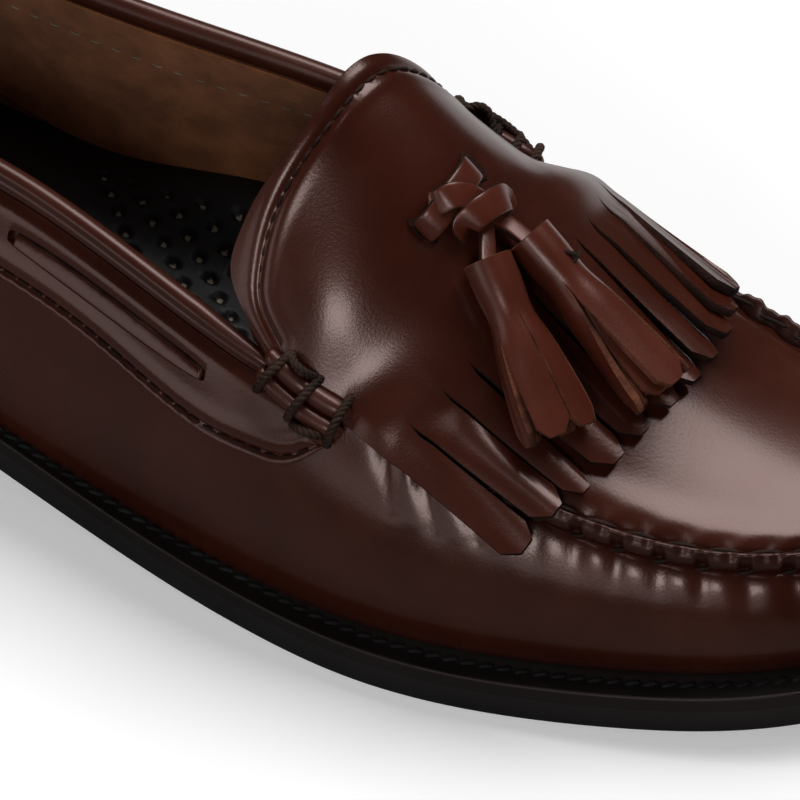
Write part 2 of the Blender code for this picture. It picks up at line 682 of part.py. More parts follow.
def build_tassels():
    """Rolled head and flaring skirt: an oval tube whose far end is grooved into strips."""
    sides = 4 * TASSEL_STRIPS
    turn = np.linspace(0, 2 * np.pi, sides, endpoint=False)
    groove = 0.5 - 0.5 * np.cos(TASSEL_STRIPS * turn)
    for name, head_p, head_v, tip_p, tip_v, tip_lift in TASSELS:
        head, up = kiltie_place(head_p, head_v, GAP + TASSEL_HEAD_RADIUS + TASSEL_REST)
        tip, _ = kiltie_place(tip_p, tip_v, GAP + TASSEL_SKIRT_HIGH + tip_lift)
        length = np.linalg.norm(tip - head)
        along = (tip - head) / length
        across = unit(np.cross(up, along))
        up = np.cross(along, across)
        neck = TASSEL_HEAD_LENGTH / length
        share = np.array([0, 0.03, neck * 0.5, neck, neck + 0.12, neck + 0.3, 0.85, 1.0])
        flare = np.clip((share - neck) / (1 - neck), 0, 1)
        wide = TASSEL_HEAD_RADIUS + (TASSEL_SKIRT_WIDE - TASSEL_HEAD_RADIUS) * flare
        high = TASSEL_HEAD_RADIUS + (TASSEL_SKIRT_HIGH - TASSEL_HEAD_RADIUS) * flare
        wide[0] *= 0.88
        high[0] *= 0.88
        deep = 1 - TASSEL_GROOVE * np.minimum(flare * 4, 1)[:, None] * groove[None]
        reach = length * share[:, None] - TASSEL_NOTCH * (share == 1)[:, None] * groove[None]
        points = (head + reach[..., None] * along
                  + (wide[:, None] * deep * np.cos(turn))[..., None] * across
                  + (high[:, None] * deep * np.sin(turn))[..., None] * up)
        index = np.arange(points[..., 0].size).reshape(points.shape[:2])
        points = points.reshape(-1, 3)
        points = np.concatenate([points, [points[index[0]].mean(axis=0), points[index[-1]].mean(axis=0)]])
        caps = [[len(points) - 2, index[0, (i + 1) % sides], index[0, i]] for i in range(sides)]
        caps += [[len(points) - 1, index[-1, i], index[-1, (i + 1) % sides]] for i in range(sides)]
        faces = grid_faces(index, closed=True) + [[int(c) for c in cap] for cap in caps]
        solid(name, points, faces, LEATHER)


def build_knot():
    """Flat thong from slot to slot over the kiltie, with one band wrapped round its middle."""
    share = np.linspace(0, 1, KNOT_STEPS)
    (p_from, v_from), (p_to, v_to) = KNOT_SLOTS
    p = p_from + (p_to - p_from) * share
    v = v_from + (v_to - v_from) * share
    path, up = kiltie_place(p, v, 2 * GAP + THONG_DEEP / 2)
    bump = np.exp(-((share - 0.5) / 0.22) ** 2)
    path = path + up * (KNOT_RISE * bump)[:, None]
    along = unit(np.gradient(path, axis=0))
    across = unit(np.cross(up, along))
    swell = 1 + KNOT_SWELL * bump
    points, faces = tube(path, across, up, THONG_WIDE, THONG_DEEP, 10, swell)
    solid("lace_knot", points, faces, LEATHER_EDGE)


def main():
    for old in list(bpy.data.objects):
        bpy.data.objects.remove(old, do_unlink=True)
    build_sole()
    build_heel()
    build_upper()
    build_kiltie()
    build_binding()
    build_collar()
    build_rolls()
    build_knot()
    build_tassels()


main()
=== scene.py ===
# %% [markdown]
# # A tassel loafer in polished leather
#
# The shoe is a right loafer: a hand-sewn apron with a raised seam, a fringed overlay on the instep, two
# tassels on a tied thong, and a black welted sole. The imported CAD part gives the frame. Every piece below
# is a numpy surface laid on the same last as the solids, so it lands where the frame says.

import bpy
import numpy as np
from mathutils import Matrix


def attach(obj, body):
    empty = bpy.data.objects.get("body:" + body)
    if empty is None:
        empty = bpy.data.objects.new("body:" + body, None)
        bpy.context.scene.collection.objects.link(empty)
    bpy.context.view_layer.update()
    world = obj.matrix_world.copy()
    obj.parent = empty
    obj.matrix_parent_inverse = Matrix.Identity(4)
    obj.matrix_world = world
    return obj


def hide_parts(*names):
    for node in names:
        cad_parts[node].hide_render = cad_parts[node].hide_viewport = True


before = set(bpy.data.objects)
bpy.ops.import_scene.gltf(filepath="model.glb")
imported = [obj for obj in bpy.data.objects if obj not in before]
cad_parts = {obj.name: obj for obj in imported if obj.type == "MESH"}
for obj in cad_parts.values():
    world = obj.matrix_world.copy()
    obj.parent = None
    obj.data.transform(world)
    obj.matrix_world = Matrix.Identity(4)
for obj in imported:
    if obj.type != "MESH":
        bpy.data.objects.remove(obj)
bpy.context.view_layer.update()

# %% [markdown]
# ## The last
#
# A shoemaker builds a shoe on a last. Here the last is two short tables in millimetres, with x counted from
# the back of the heel. RING walks once round the shoe: the sole's edge, the ledge of the welt, the top of
# the side wall, and how the wall leans. CREST is the middle of the instep from the toe back to the tongue:
# its place, how narrow its arch is pinched, and how far its sides sweep back.

# %% Tables of the last
MM = 0.001
GAP = 0.3
TOE = 8.0
ROWS = 16
RING_COLUMNS = ("edge_x", "edge_y", "ledge", "top_x", "top_y", "top_z", "foot_lean", "top_lean")
EDGE = RING_COLUMNS[:2]
WALL_TOP = RING_COLUMNS[3:6]
RING = np.array((
    (0, 0, 2.5, 8.5, 0, 77.5, 12, 14),
    (14, -26, 2.5, 19, -18.5, 75, 12, 16),
    (62, -36.3, 2.8, 61, -24, 67.5, 10, 22),
    (112, -42.5, 3.0, 110, -27, 63.8, 8, 28),
    (165, -52.6, 5.0, 161, -37.5, 55, 14, 32),
    (203, -54.6, 6.4, 200, -37, 46, 22, 46),
    (242, -45.2, 6.8, 237, -31.8, 37, 28, 54),
    (277, -28.2, 6.6, 266.5, -19, 33.8, 28, 58),
    (300, 3, 6.4, 282.5, 3, 32.2, 28, 60),
    (290, 31, 6.2, 273, 20, 32.6, 27, 54),
    (262, 45, 6.0, 249, 28.5, 33.8, 25, 50),
    (215, 50, 5.4, 206, 33, 43.5, 22, 42),
    (170, 42, 3.6, 160, 29.5, 58.8, 16, 24),
    (115, 30, 2.6, 112, 23.3, 66.3, 14, 14),
    (62, 32, 2.6, 61, 22.5, 70, 13, 15),
    (14, 24, 2.5, 19, 17, 76, 12, 15),
), float)
CREST_P = np.array((0.0, 1.0, 2.0, 3.0, 3.6, 4.4))
CREST = np.array((
    (282.5, 3.0, 32.2, 0.0, 0.0),
    (271.0, 2.0, 37.0, 0.0, 0.0),
    (245.0, -0.5, 41.4, 0.0, 0.0),
    (205.0, -0.5, 62.5, 0.08, 1.0),
    (183.0, -0.5, 80.5, 0.18, 4.5),
    (162.8, 0.5, 94.6, 0.06, 14.0),
))
THROAT_P = 3.6
TONGUE_P = 4.4
TONGUE_TUCK_LATERAL = np.array((-11.0, 4.6, 7.0))
TONGUE_TUCK_MEDIAL = np.array((-15.0, -7.0, 8.0))
HEEL_HEIGHT = 20.4
TOE_SPRING = 7.5
WELT_TOP = 9.3
UP = np.array((0.0, 0.0, 1.0))
print("rows on the last:", len(RING), "crest rows:", len(CREST))

# %% [markdown]
# ## Curves through the tables
#
# A natural cubic spline is the curve that a thin wooden batten takes through pins. One small solver is enough
# for every table. The ring is closed, so its rows are wrapped round at both ends before the solver runs.


# %% Splines and the sole's underside
def spline(knots, values, at):
    """Natural cubic: solve for the bends at the knots, then mix both ends of each piece by their bends."""
    step = np.diff(knots)
    system = np.eye(len(knots))
    right = np.zeros_like(values)
    for i in range(1, len(knots) - 1):
        system[i, i - 1:i + 2] = step[i - 1], 2 * (step[i - 1] + step[i]), step[i]
        right[i] = 6 * ((values[i + 1] - values[i]) / step[i] - (values[i] - values[i - 1]) / step[i - 1])
    bend = np.linalg.solve(system, right)
    at = np.asarray(at, float)
    i = np.clip(np.searchsorted(knots, at, "right") - 1, 0, len(knots) - 2)
    wide = step[i][..., None]
    after = (at - knots[i])[..., None]
    before = wide - after
    curved = (bend[i] * before ** 3 + bend[i + 1] * after ** 3) / (6 * wide)
    straight = (values[i] / wide - bend[i] * wide / 6) * before
    return curved + straight + (values[i + 1] / wide - bend[i + 1] * wide / 6) * after


def ring(u, *names):
    """Named columns of RING at ring place u, as a closed spline."""
    wrap = 6
    columns = RING[:, [RING_COLUMNS.index(name) for name in names]]
    knots = np.arange(-wrap, ROWS + wrap)
    return spline(knots, columns[knots % ROWS], np.mod(u, ROWS))


def unit(vectors):
    """Vectors over their own lengths."""
    return vectors / np.maximum(np.linalg.norm(vectors, axis=-1, keepdims=True), 1e-9)


def outward(u):
    """Level direction away from the shoe: the edge's tangent turned a quarter."""
    along = unit(ring(np.asarray(u) + 0.02, *EDGE) - ring(np.asarray(u) - 0.02, *EDGE))
    return np.stack([along[..., 1], -along[..., 0], np.zeros(along.shape[:-1])], axis=-1)


def ease(share):
    """Smooth step: 3 s squared minus 2 s cubed, held to 0 and 1 outside."""
    share = np.clip(share, 0, 1)
    return share ** 2 * (3 - 2 * share)


def bell(distance, wide):
    """Bell curve: 1 at distance 0, e to the minus square of distance over wide."""
    return np.exp(-(distance / wide) ** 2)


WAIST_FROM, WAIST_LONG, WAIST_SOFT, WAIST_POWER = 55.0, 110.0, 0.02, 1.9
SPRING_FROM, SPRING_LONG = 205.0, 95.0


def tread(x):
    """Underside of the outsole: heel seat, a waist falling by a power, a flat tread, a squared toe spring."""
    fall = (x - WAIST_FROM) / WAIST_LONG
    waist = np.clip((fall + np.sqrt(fall ** 2 + WAIST_SOFT)) / 2, 0, 1)
    spring = np.clip((x - SPRING_FROM) / SPRING_LONG, 0, None)
    return HEEL_HEIGHT * (1 - waist) ** WAIST_POWER + TOE_SPRING * spring ** 2


def edge_loop(u, inset, height):
    """The sole's edge drawn in by inset, at a height over the underside."""
    flat = ring(u, *EDGE) - np.asarray(inset)[..., None] * outward(u)[..., :2]
    return np.concatenate([flat, tread(flat[..., :1]) + np.asarray(height)[..., None]], axis=-1)


outline = ring(np.linspace(0, ROWS, 1600, endpoint=False), *EDGE)
CENTRE = (outline.min(axis=0) + outline.max(axis=0)) / 2
print("middle of the outline in mm:", CENTRE.round(2))

# %% [markdown]
# ## Wall, instep and overlay
#
# On the shoe, wall, instep and overlay are three pieces of leather pulled over the same last. The side wall
# is a cubic curve from the welt's ledge to its top, with the table's leanings as handles. Each surface gives
# points for whole grids at once, so that a piece is made with a few array steps.

# %% Surface of the side wall
HANDLE = 0.38
NUDGE = 0.01


def wall(u, t):
    """Side wall: the Bezier cubic from foot (t 0) to top (t 1) with handles along the two leanings."""
    u, t = np.broadcast_arrays(np.asarray(u, float), np.asarray(t, float))
    out = outward(u)
    foot = edge_loop(u, ring(u, "ledge")[..., 0], WELT_TOP)
    top = ring(u, *WALL_TOP)
    handle = HANDLE * np.linalg.norm(top - foot, axis=-1, keepdims=True)
    foot_lean, top_lean = np.radians(ring(u, "foot_lean")), np.radians(ring(u, "top_lean"))
    low = foot + handle * (np.sin(foot_lean) * out + np.cos(foot_lean) * UP)
    high = top + handle * (np.sin(top_lean) * out - np.cos(top_lean) * UP)
    t = t[..., None]
    s = 1 - t
    return s ** 3 * foot + 3 * s ** 2 * t * low + 3 * s * t ** 2 * high + t ** 3 * top


def wall_normal(u, t):
    """Outward normal of the wall: the cross of its two small steps."""
    u, t = np.broadcast_arrays(np.asarray(u, float), np.asarray(t, float))
    inside = np.clip(t, NUDGE, 1 - NUDGE)
    around = wall(u + NUDGE, t) - wall(u - NUDGE, t)
    return unit(np.cross(around, wall(u, inside + NUDGE) - wall(u, inside - NUDGE)))


def off_wall(u, t, height):
    """The wall moved along its normal by a height."""
    return wall(u, t) + np.asarray(height)[..., None] * wall_normal(u, t)


# %% [markdown]
# The instep joins the two sides of the seam with an arch. The overlay, or kiltie, is the instep lifted by
# its own thickness and carried out over the seam, where it goes straight on.


# %% Surfaces of the instep and overlay
def instep(p, v):
    """Apron and tongue: chord between the seams plus the crest's height times a parabola and cosine mix."""
    p, v = np.broadcast_arrays(np.asarray(p, float), np.asarray(v, float))
    on_seam = np.minimum(p, THROAT_P)
    past = np.clip((p - THROAT_P) / (TONGUE_P - THROAT_P), 0, None)[..., None]
    lateral = ring(TOE - on_seam, *WALL_TOP) + past * TONGUE_TUCK_LATERAL
    medial = ring(TOE + on_seam, *WALL_TOP) + past * TONGUE_TUCK_MEDIAL
    crest = spline(CREST_P, CREST, p)
    across = (2 * v - 1)[..., None]
    pinch, sweep = crest[..., 3:4], crest[..., 4:5]
    arch = (1 - pinch) * (1 - across ** 2) + pinch * (1 + np.cos(np.pi * across)) / 2
    point = lateral + (medial - lateral) * v[..., None] + (crest[..., :3] - (lateral + medial) / 2) * arch
    point[..., :1] += sweep * across * (1 - across ** 8)
    return point


def instep_normal(p, v):
    """Upward normal of the instep: the cross of its two small steps."""
    inside = np.clip(v, NUDGE, 1 - NUDGE)
    across = instep(p, inside + NUDGE) - instep(p, inside - NUDGE)
    return unit(np.cross(across, instep(p + NUDGE, v) - instep(p - NUDGE, v)))


def instep_width(p):
    """Straight distance from seam to seam at row p."""
    return np.linalg.norm(instep(p, 1.0) - instep(p, 0.0), axis=-1)


SEAM_END_P = 3.45
LIP_UNDER, LIP_WIDE, LIP_FADE = 1.6, 5.0, 0.5
OVERHANG_P = np.array((2.38, 3.08, 3.40, 3.60, 4.40))
OVERHANG = np.array(((10.0, -1.0), (4.0, -1.0), (-2.0, -2.4), (-1.8, -2.4), (0.6, -0.8)))


def kiltie(p, w, lift):
    """Overlay: the instep at the widened place w, lifted along its normal, straight on beyond the seam."""
    p, w, lift = np.broadcast_arrays(np.asarray(p, float), np.asarray(w, float), np.asarray(lift, float))
    overhang = spline(OVERHANG_P, OVERHANG, p)
    width = instep_width(p)
    v = -overhang[..., 0] / width + w * (1 + overhang.sum(axis=-1) / width)
    on_apron = np.clip(v, 0, 1)
    inside = np.clip(on_apron, 2 * NUDGE, 1 - 2 * NUDGE)
    run = unit(instep(p, inside + 2 * NUDGE) - instep(p, inside - 2 * NUDGE))
    to_seam = np.minimum(on_apron, 1 - on_apron) * width
    over_lip = LIP_UNDER * np.clip((SEAM_END_P - p) / LIP_FADE, 0, 1) * bell(to_seam, LIP_WIDE)
    rise = (2 * GAP + over_lip + lift)[..., None]
    return instep(p, on_apron) + rise * instep_normal(p, on_apron) + ((v - on_apron) * width)[..., None] * run


print("instep crest at the knot in mm:", instep(3.43, 0.5).round(1))

# %% [markdown]
# ## From grids to closed meshes
#
# A sheet of leather is an outer grid, an inner grid and a rounded rim between them. The rim is found from the
# faces: an edge that only one face uses lies on the border. So any grid, with holes or slits in it, comes out
# as a closed sheet.


# %% Grids and sheets
def numbers(grid, first=0):
    """Vertex numbers for a grid of points, row by row, counted from first."""
    return first + np.arange(grid[..., 0].size).reshape(grid.shape[:-1])


def grid_quads(index, wrap=False):
    """Four corner numbers for each cell of a grid of vertex numbers."""
    if wrap:
        index = np.concatenate([index, index[:, :1]], axis=1)
    return np.stack([index[:-1, :-1], index[:-1, 1:], index[1:, 1:], index[1:, :-1]], axis=-1).reshape(-1, 4)


def face_cross(points, quads):
    """Crossed diagonals of each face: its normal, as long as twice its area."""
    corner = points[quads]
    return np.cross(corner[:, 2] - corner[:, 0], corner[:, 3] - corner[:, 1])


def normals(points, quads):
    """Vertex normals: the sum of the crossed diagonals of the faces round each vertex."""
    total = np.zeros_like(points)
    np.add.at(total, quads.ravel(), np.repeat(face_cross(points, quads), 4, axis=0))
    return unit(total)


def thick(outer, inner, quads, bulge=0.8, rows=4):
    """Closed sheet: outer faces, turned inner faces, and a rim of half circles along every border edge."""
    count = len(outer)
    start, end = quads.ravel(), np.roll(quads, -1, axis=1).ravel()
    border = ~np.isin(start * count + end, end * count + start)
    a, b = start[border], end[border]
    away = np.cross(outer[b] - outer[a], np.repeat(unit(face_cross(outer, quads)), 4, axis=0)[border])
    push = np.zeros_like(outer)
    np.add.at(push, a, away)
    np.add.at(push, b, away)
    rim = np.unique(a)
    middle, half = (outer[rim] + inner[rim]) / 2, (outer[rim] - inner[rim]) / 2
    size = np.linalg.norm(half, axis=1, keepdims=True) * bulge
    turn = np.linspace(0, np.pi, rows + 1)[1:-1, None, None]
    between = middle + half * np.cos(turn) + unit(push[rim]) * size * np.sin(turn)
    place = np.full(count, -1)
    place[rim] = np.arange(len(rim))
    levels = np.concatenate([rim[None], numbers(between, 2 * count), rim[None] + count])
    sides = np.stack([levels[:-1][:, place[b]], levels[:-1][:, place[a]],
                      levels[1:][:, place[a]], levels[1:][:, place[b]]], axis=-1).reshape(-1, 4)
    points = np.concatenate([outer, inner, between.reshape(-1, 3)])
    faces = np.concatenate([quads, quads[:, ::-1] + count, sides])
    kind = np.repeat((0, 1, 2), (len(quads), len(quads), len(sides)))
    return points, faces, kind


def sheet(outer, inner, wrap=False, flip=False, **rim):
    """Closed sheet between two grids of points; flip turns the faces of the outer grid."""
    quads = grid_quads(numbers(outer), wrap)
    return thick(outer.reshape(-1, 3), inner.reshape(-1, 3), quads[:, ::-1] if flip else quads, **rim)


# %% [markdown]
# Threads, thongs and rolls are bars: a profile carried along a path, with a fan of faces over both ends.
# Several bars can be joined in one mesh, and a path can be read at even steps of its own length.


# %% Bars and paths
def cap_quads(loop):
    """A fan of quads over a loop with an even number of corners."""
    middle = np.arange(1, len(loop) - 2, 2)
    first = np.full(len(middle), loop[0])
    return np.stack([first, loop[middle], loop[middle + 1], loop[middle + 2]], axis=-1)


def bar(path, side, up, profile, size=None):
    """Profile (across, over) carried along a path; size scales it at each step; both ends are capped."""
    size = np.ones(len(path)) if size is None else size
    section = np.broadcast_to(profile, (len(path),) + profile.shape[-2:]) * size[:, None, None]
    points = path[:, None] + section[..., :1] * side[:, None] + section[..., 1:] * up[:, None]
    index = numbers(points)
    caps = [cap_quads(index[0])[:, ::-1], cap_quads(index[-1])]
    return points.reshape(-1, 3), np.concatenate([grid_quads(index, wrap=True)] + caps)


def oval(wide, high, sides, square=2.0):
    """Superellipse: cosine and sine raised to 2 over square, so that 2 is an ellipse and 5 a soft box."""
    turn = 2 * np.pi * np.arange(sides) / sides
    wave = np.stack([np.cos(turn), np.sin(turn)], axis=-1)
    return np.sign(wave) * np.abs(wave) ** (2 / square) * (wide / 2, high / 2)


def join(parts):
    """Several (points, quads) in one mesh: later corner numbers are moved on."""
    start = np.cumsum([0] + [len(points) for points, _ in parts[:-1]])
    return (np.concatenate([points for points, _ in parts]),
            np.concatenate([quads + first for (_, quads), first in zip(parts, start)]))


def run_along(path):
    """Length along a path at each of its points."""
    return np.concatenate([[0], np.cumsum(np.linalg.norm(np.diff(path, axis=0), axis=1))])


def read_rows(at, knots, rows):
    """Rows of a table of vectors, read between its knots."""
    return np.stack([np.interp(at, knots, column) for column in rows.T], axis=-1)


# %% [markdown]
# A piece is a mesh object whose points are given in millimetres on the last. It rides on the shoe's one body,
# takes its finishes from the table of finishes by name, and hides the CAD node that it stands for.

# %% Piece maker
FINISH = {}


def piece(name, shape, finishes, stands_for=(), sharp=50.0, attributes=None):
    """A mesh object in the part's frame, from millimetres; a negative volume turns all its faces."""
    points, quads, *kind = shape
    flat = np.array(points, float)
    flat[:, :2] -= CENTRE
    flat *= MM
    corner = flat[quads]
    fan = np.cross(corner[:, 1], corner[:, 2]) + np.cross(corner[:, 2], corner[:, 3])
    if (corner[:, 0] * fan).sum() < 0:
        quads = quads[:, ::-1]
    mesh = bpy.data.meshes.new(name)
    mesh.vertices.add(len(flat))
    mesh.vertices.foreach_set("co", flat.ravel())
    mesh.loops.add(quads.size)
    mesh.loops.foreach_set("vertex_index", quads.ravel())
    mesh.polygons.add(len(quads))
    mesh.polygons.foreach_set("loop_start", np.arange(0, quads.size, 4))
    for finish in finishes:
        mesh.materials.append(FINISH[finish])
    if kind:
        mesh.polygons.foreach_set("material_index", kind[0])
    for label, values in (attributes or {}).items():
        mesh.attributes.new(label, "FLOAT", "POINT").data.foreach_set("value", values)
    mesh.update(calc_edges=True)
    mesh.validate()
    mesh.shade_smooth()
    mesh.set_sharp_from_angle(angle=np.radians(sharp))
    made = bpy.data.objects.new(name, mesh)
    bpy.context.scene.collection.objects.link(made)
    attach(made, "root")
    if stands_for:
        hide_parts(*stands_for)
    print(f"{name}: {len(quads)} quads")
    return made


# %% [markdown]
# ## Finishes
#
# Polished leather is a dark, slightly mottled base under a clear shine, with a grain that only shows where
# the light grazes it. The grain is shared by several leathers, so it is a node group: it gives a height for
# the bump and a cloudiness for colour and roughness. A second group gives the nap of suede, cut edges and
# thread. Each material sets its own values.


# %% Node groups
def fill(node, **values):
    """Fills in a node's inputs or settings by name; an underscore stands for a blank in an input's name."""
    for name, value in values.items():
        label = name.replace("_", " ")
        if label in node.inputs:
            node.inputs[label].default_value = value
        else:
            setattr(node, name, value)
    return node


def node_of(tree, kind, **values):
    """A new node with some of its inputs or settings filled in."""
    return fill(tree.nodes.new(kind), **values)


def texture_group(name, scales, outputs, textures):
    """A group with one scale socket for each texture, all on Object coordinates.

    Gives back the group, its texture nodes and its output node, so that the caller can link them.
    """
    tree = bpy.data.node_groups.new(name, "ShaderNodeTree")
    for label, value in scales.items():
        socket = tree.interface.new_socket(name=label, in_out="INPUT", socket_type="NodeSocketFloat")
        socket.default_value = value
    for label in outputs:
        tree.interface.new_socket(name=label, in_out="OUTPUT", socket_type="NodeSocketFloat")
    given, made = tree.nodes.new("NodeGroupInput"), tree.nodes.new("NodeGroupOutput")
    place = tree.nodes.new("ShaderNodeTexCoord")
    nodes = []
    for label, (kind, values) in zip(scales, textures):
        nodes.append(node_of(tree, kind, **values))
        tree.links.new(place.outputs["Object"], nodes[-1].inputs["Vector"])
        tree.links.new(given.outputs[label], nodes[-1].inputs["Scale"])
    return tree, nodes, made


NOISE = "ShaderNodeTexNoise"


def leather_grain():
    """Pores from a cell pattern, at half height, plus fine wrinkles; slow clouds from noise."""
    textures = (("ShaderNodeTexVoronoi", {"feature": "SMOOTH_F1"}),
                (NOISE, {"Detail": 3.0, "Roughness": 0.6}), (NOISE, {"Detail": 4.0, "Roughness": 0.55}))
    scales = {"Pores": 2200.0, "Wrinkles": 1600.0, "Clouds": 45.0}
    tree, (pores, fine, slow), made = texture_group("leather_grain", scales, ("Height", "Cloud"), textures)
    height = node_of(tree, "ShaderNodeMath", operation="MULTIPLY_ADD")
    height.inputs[1].default_value = 0.5
    tree.links.new(pores.outputs["Distance"], height.inputs[0])
    tree.links.new(fine.outputs["Fac"], height.inputs[2])
    tree.links.new(height.outputs["Value"], made.inputs["Height"])
    tree.links.new(slow.outputs["Fac"], made.inputs["Cloud"])
    return tree


def fibre_nap():
    """Fine noise and coarse noise: the nap of a cut edge, suede or thread."""
    textures = ((NOISE, {"Detail": 4.0, "Roughness": 0.7}), (NOISE, {"Detail": 3.0, "Roughness": 0.6}))
    scales = {"Fibres": 1800.0, "Patches": 120.0}
    tree, nodes, made = texture_group("fibre_nap", scales, ("Height", "Patch"), textures)
    for node, label in zip(nodes, ("Height", "Patch")):
        tree.links.new(node.outputs["Fac"], made.inputs[label])
    return tree


GRAIN, NAP = leather_grain(), fibre_nap()
print("node groups:", GRAIN.name, NAP.name)

# %% [markdown]
# A leather takes its colour and roughness from the clouds and its bump from the grain, under a clear coat. A
# fibre takes its colour from the patches and has a strong bump. Constants go straight to the shader's own
# sockets.

# %% Leather and fibre materials
GLOSS_TINT = (1.0, 0.72, 0.66, 1.0)


def start_material(name):
    """A node material, its tree and its Principled shader."""
    made = bpy.data.materials.new(name)
    made.use_nodes = True
    return made, made.node_tree, made.node_tree.nodes["Principled BSDF"]


def tint(tree, mask, dark, light, low, high):
    """Colour between dark and light, where the mask runs from low to high."""
    ramp = tree.nodes.new("ShaderNodeValToRGB")
    for stop, place, colour in zip(ramp.color_ramp.elements, (low, high), (dark, light)):
        stop.position = place
        stop.color = (*colour, 1)
    tree.links.new(mask, ramp.inputs["Fac"])
    return ramp.outputs["Color"]


def spread(tree, mask, low, high):
    """Value between low and high, following the middle part of a 0 to 1 mask."""
    node = node_of(tree, "ShaderNodeMapRange", From_Min=0.3, From_Max=0.7, To_Min=low, To_Max=high)
    tree.links.new(mask, node.inputs["Value"])
    return node.outputs["Result"]


def bumped(tree, shader, height, strength, distance):
    """Feeds a height to the shader's normal through a bump."""
    bump = node_of(tree, "ShaderNodeBump", Strength=strength, Distance=distance)
    tree.links.new(height, bump.inputs["Height"])
    tree.links.new(bump.outputs["Normal"], shader.inputs["Normal"])


def polished_leather(name, dark, light, rough, coat, grain):
    """Cloudy colour and roughness, fine grain bump and a clear coat."""
    made, tree, shader = start_material(name)
    group = node_of(tree, "ShaderNodeGroup", node_tree=GRAIN)
    cloud = group.outputs["Cloud"]
    tree.links.new(tint(tree, cloud, dark, light, 0.36, 0.66), shader.inputs["Base Color"])
    tree.links.new(spread(tree, cloud, rough - 0.03, rough + 0.04), shader.inputs["Roughness"])
    bumped(tree, shader, group.outputs["Height"], grain, 0.0002)
    fill(shader, Coat_Weight=coat, Coat_Roughness=0.15, Coat_IOR=1.5, Specular_Tint=GLOSS_TINT)
    return made


def napped(name, dark, light, rough, bump, fibres, sheen=0.0):
    """Rough fibre: patchy colour and a strong nap bump, with sheen for suede."""
    made, tree, shader = start_material(name)
    group = node_of(tree, "ShaderNodeGroup", node_tree=NAP, Fibres=fibres)
    tree.links.new(tint(tree, group.outputs["Patch"], dark, light, 0.35, 0.68), shader.inputs["Base Color"])
    bumped(tree, shader, group.outputs["Height"], bump, 0.0006)
    fill(shader, Roughness=rough, Specular_IOR_Level=0.2, Sheen_Weight=sheen, Sheen_Roughness=0.5)
    return made


# %% [markdown]
# The leathers differ in dark and light colour, roughness, coat and grain; the fibres in colour, roughness,
# nap and scale. So two tables of values make them all: dyed and polished upper leather, a darker copy of it
# whose dark colour is painted shade for the seam fin and the collar strip's rim, browner tassels, a black
# sole edge and welt, cut edges, suede, waxed cord and thread.

# %% Tables of finishes
LEATHERS = {
    "burgundy_leather": ((0.040, 0.0078, 0.0038), (0.058, 0.0121, 0.0060), 0.25, 0.14, 0.11),
    "rolled_leather": ((0.040, 0.0082, 0.0042), (0.057, 0.0124, 0.0063), 0.34, 0.10, 0.08),
    # The seam leather row is the upper leather made darker and rougher: its colour is painted shade for the
    # seam fin and the collar strip's rim.
    "shaded_seam_leather": ((0.022, 0.0046, 0.0024), (0.036, 0.0076, 0.0040), 0.40, 0.05, 0.15),
    "tassel_leather": ((0.072, 0.0145, 0.0074), (0.104, 0.0220, 0.0112), 0.32, 0.12, 0.12),
    "black_sole_edge": ((0.0092, 0.0102, 0.0110), (0.0130, 0.0143, 0.0153), 0.42, 0.10, 0.05),
    "black_welt": ((0.0050, 0.0052, 0.0054), (0.0090, 0.0092, 0.0096), 0.50, 0.05, 0.25),
}
FIBRES = {
    "tassel_cut_edge": ((0.060, 0.0195, 0.0112), (0.270, 0.088, 0.048), 0.85, 0.9, 1500.0),
    "cut_leather_edge": ((0.007, 0.0030, 0.0022), (0.040, 0.0140, 0.0085), 0.85, 0.9, 1500.0),
    "frayed_lace_edge": ((0.030, 0.0145, 0.0100), (0.150, 0.0760, 0.0540), 0.9, 0.9, 1500.0),
    "suede_lining": ((0.215, 0.080, 0.032), (0.370, 0.142, 0.060), 0.95, 0.7, 1700.0, 0.06),
    "waxed_cord": ((0.020, 0.0100, 0.0070), (0.056, 0.0270, 0.0180), 0.55, 0.8, 1300.0),
    "dark_thread": ((0.012, 0.0056, 0.0040), (0.036, 0.0165, 0.0110), 0.6, 0.6, 2200.0),
    "pale_thread": ((0.20, 0.15, 0.10), (0.36, 0.28, 0.20), 0.8, 0.5, 2200.0),
    "black_thread": ((0.006, 0.006, 0.006), (0.016, 0.016, 0.017), 0.55, 0.6, 2000.0),
}
FINISH.update({name: polished_leather(name, *row) for name, row in LEATHERS.items()})
FINISH.update({name: napped(name, *row) for name, row in FIBRES.items()})
UPPER_FINISHES = ("burgundy_leather", "suede_lining", "cut_leather_edge")
print("finishes:", len(FINISH))

# %% [markdown]
# ## Outsole, heel and welt
#
# The sole is cut to the outline and its edge is trimmed smooth, so outsole and welt read as one black band
# with a fine bead at the top. Each is a stack of loops of the same outline, with its own height and inset,
# capped by rows from side to side that follow the tread.

# %% Sole plates
RING_FINE = 480
OUTSOLE_TOP = 6.2
OUTSOLE_SIDE = ((1.1, 0.0), (0.45, 0.18), (0.12, 0.55), (0.0, 1.1), (0.0, 3.0), (0.0, 5.0),
                (0.0, OUTSOLE_TOP))


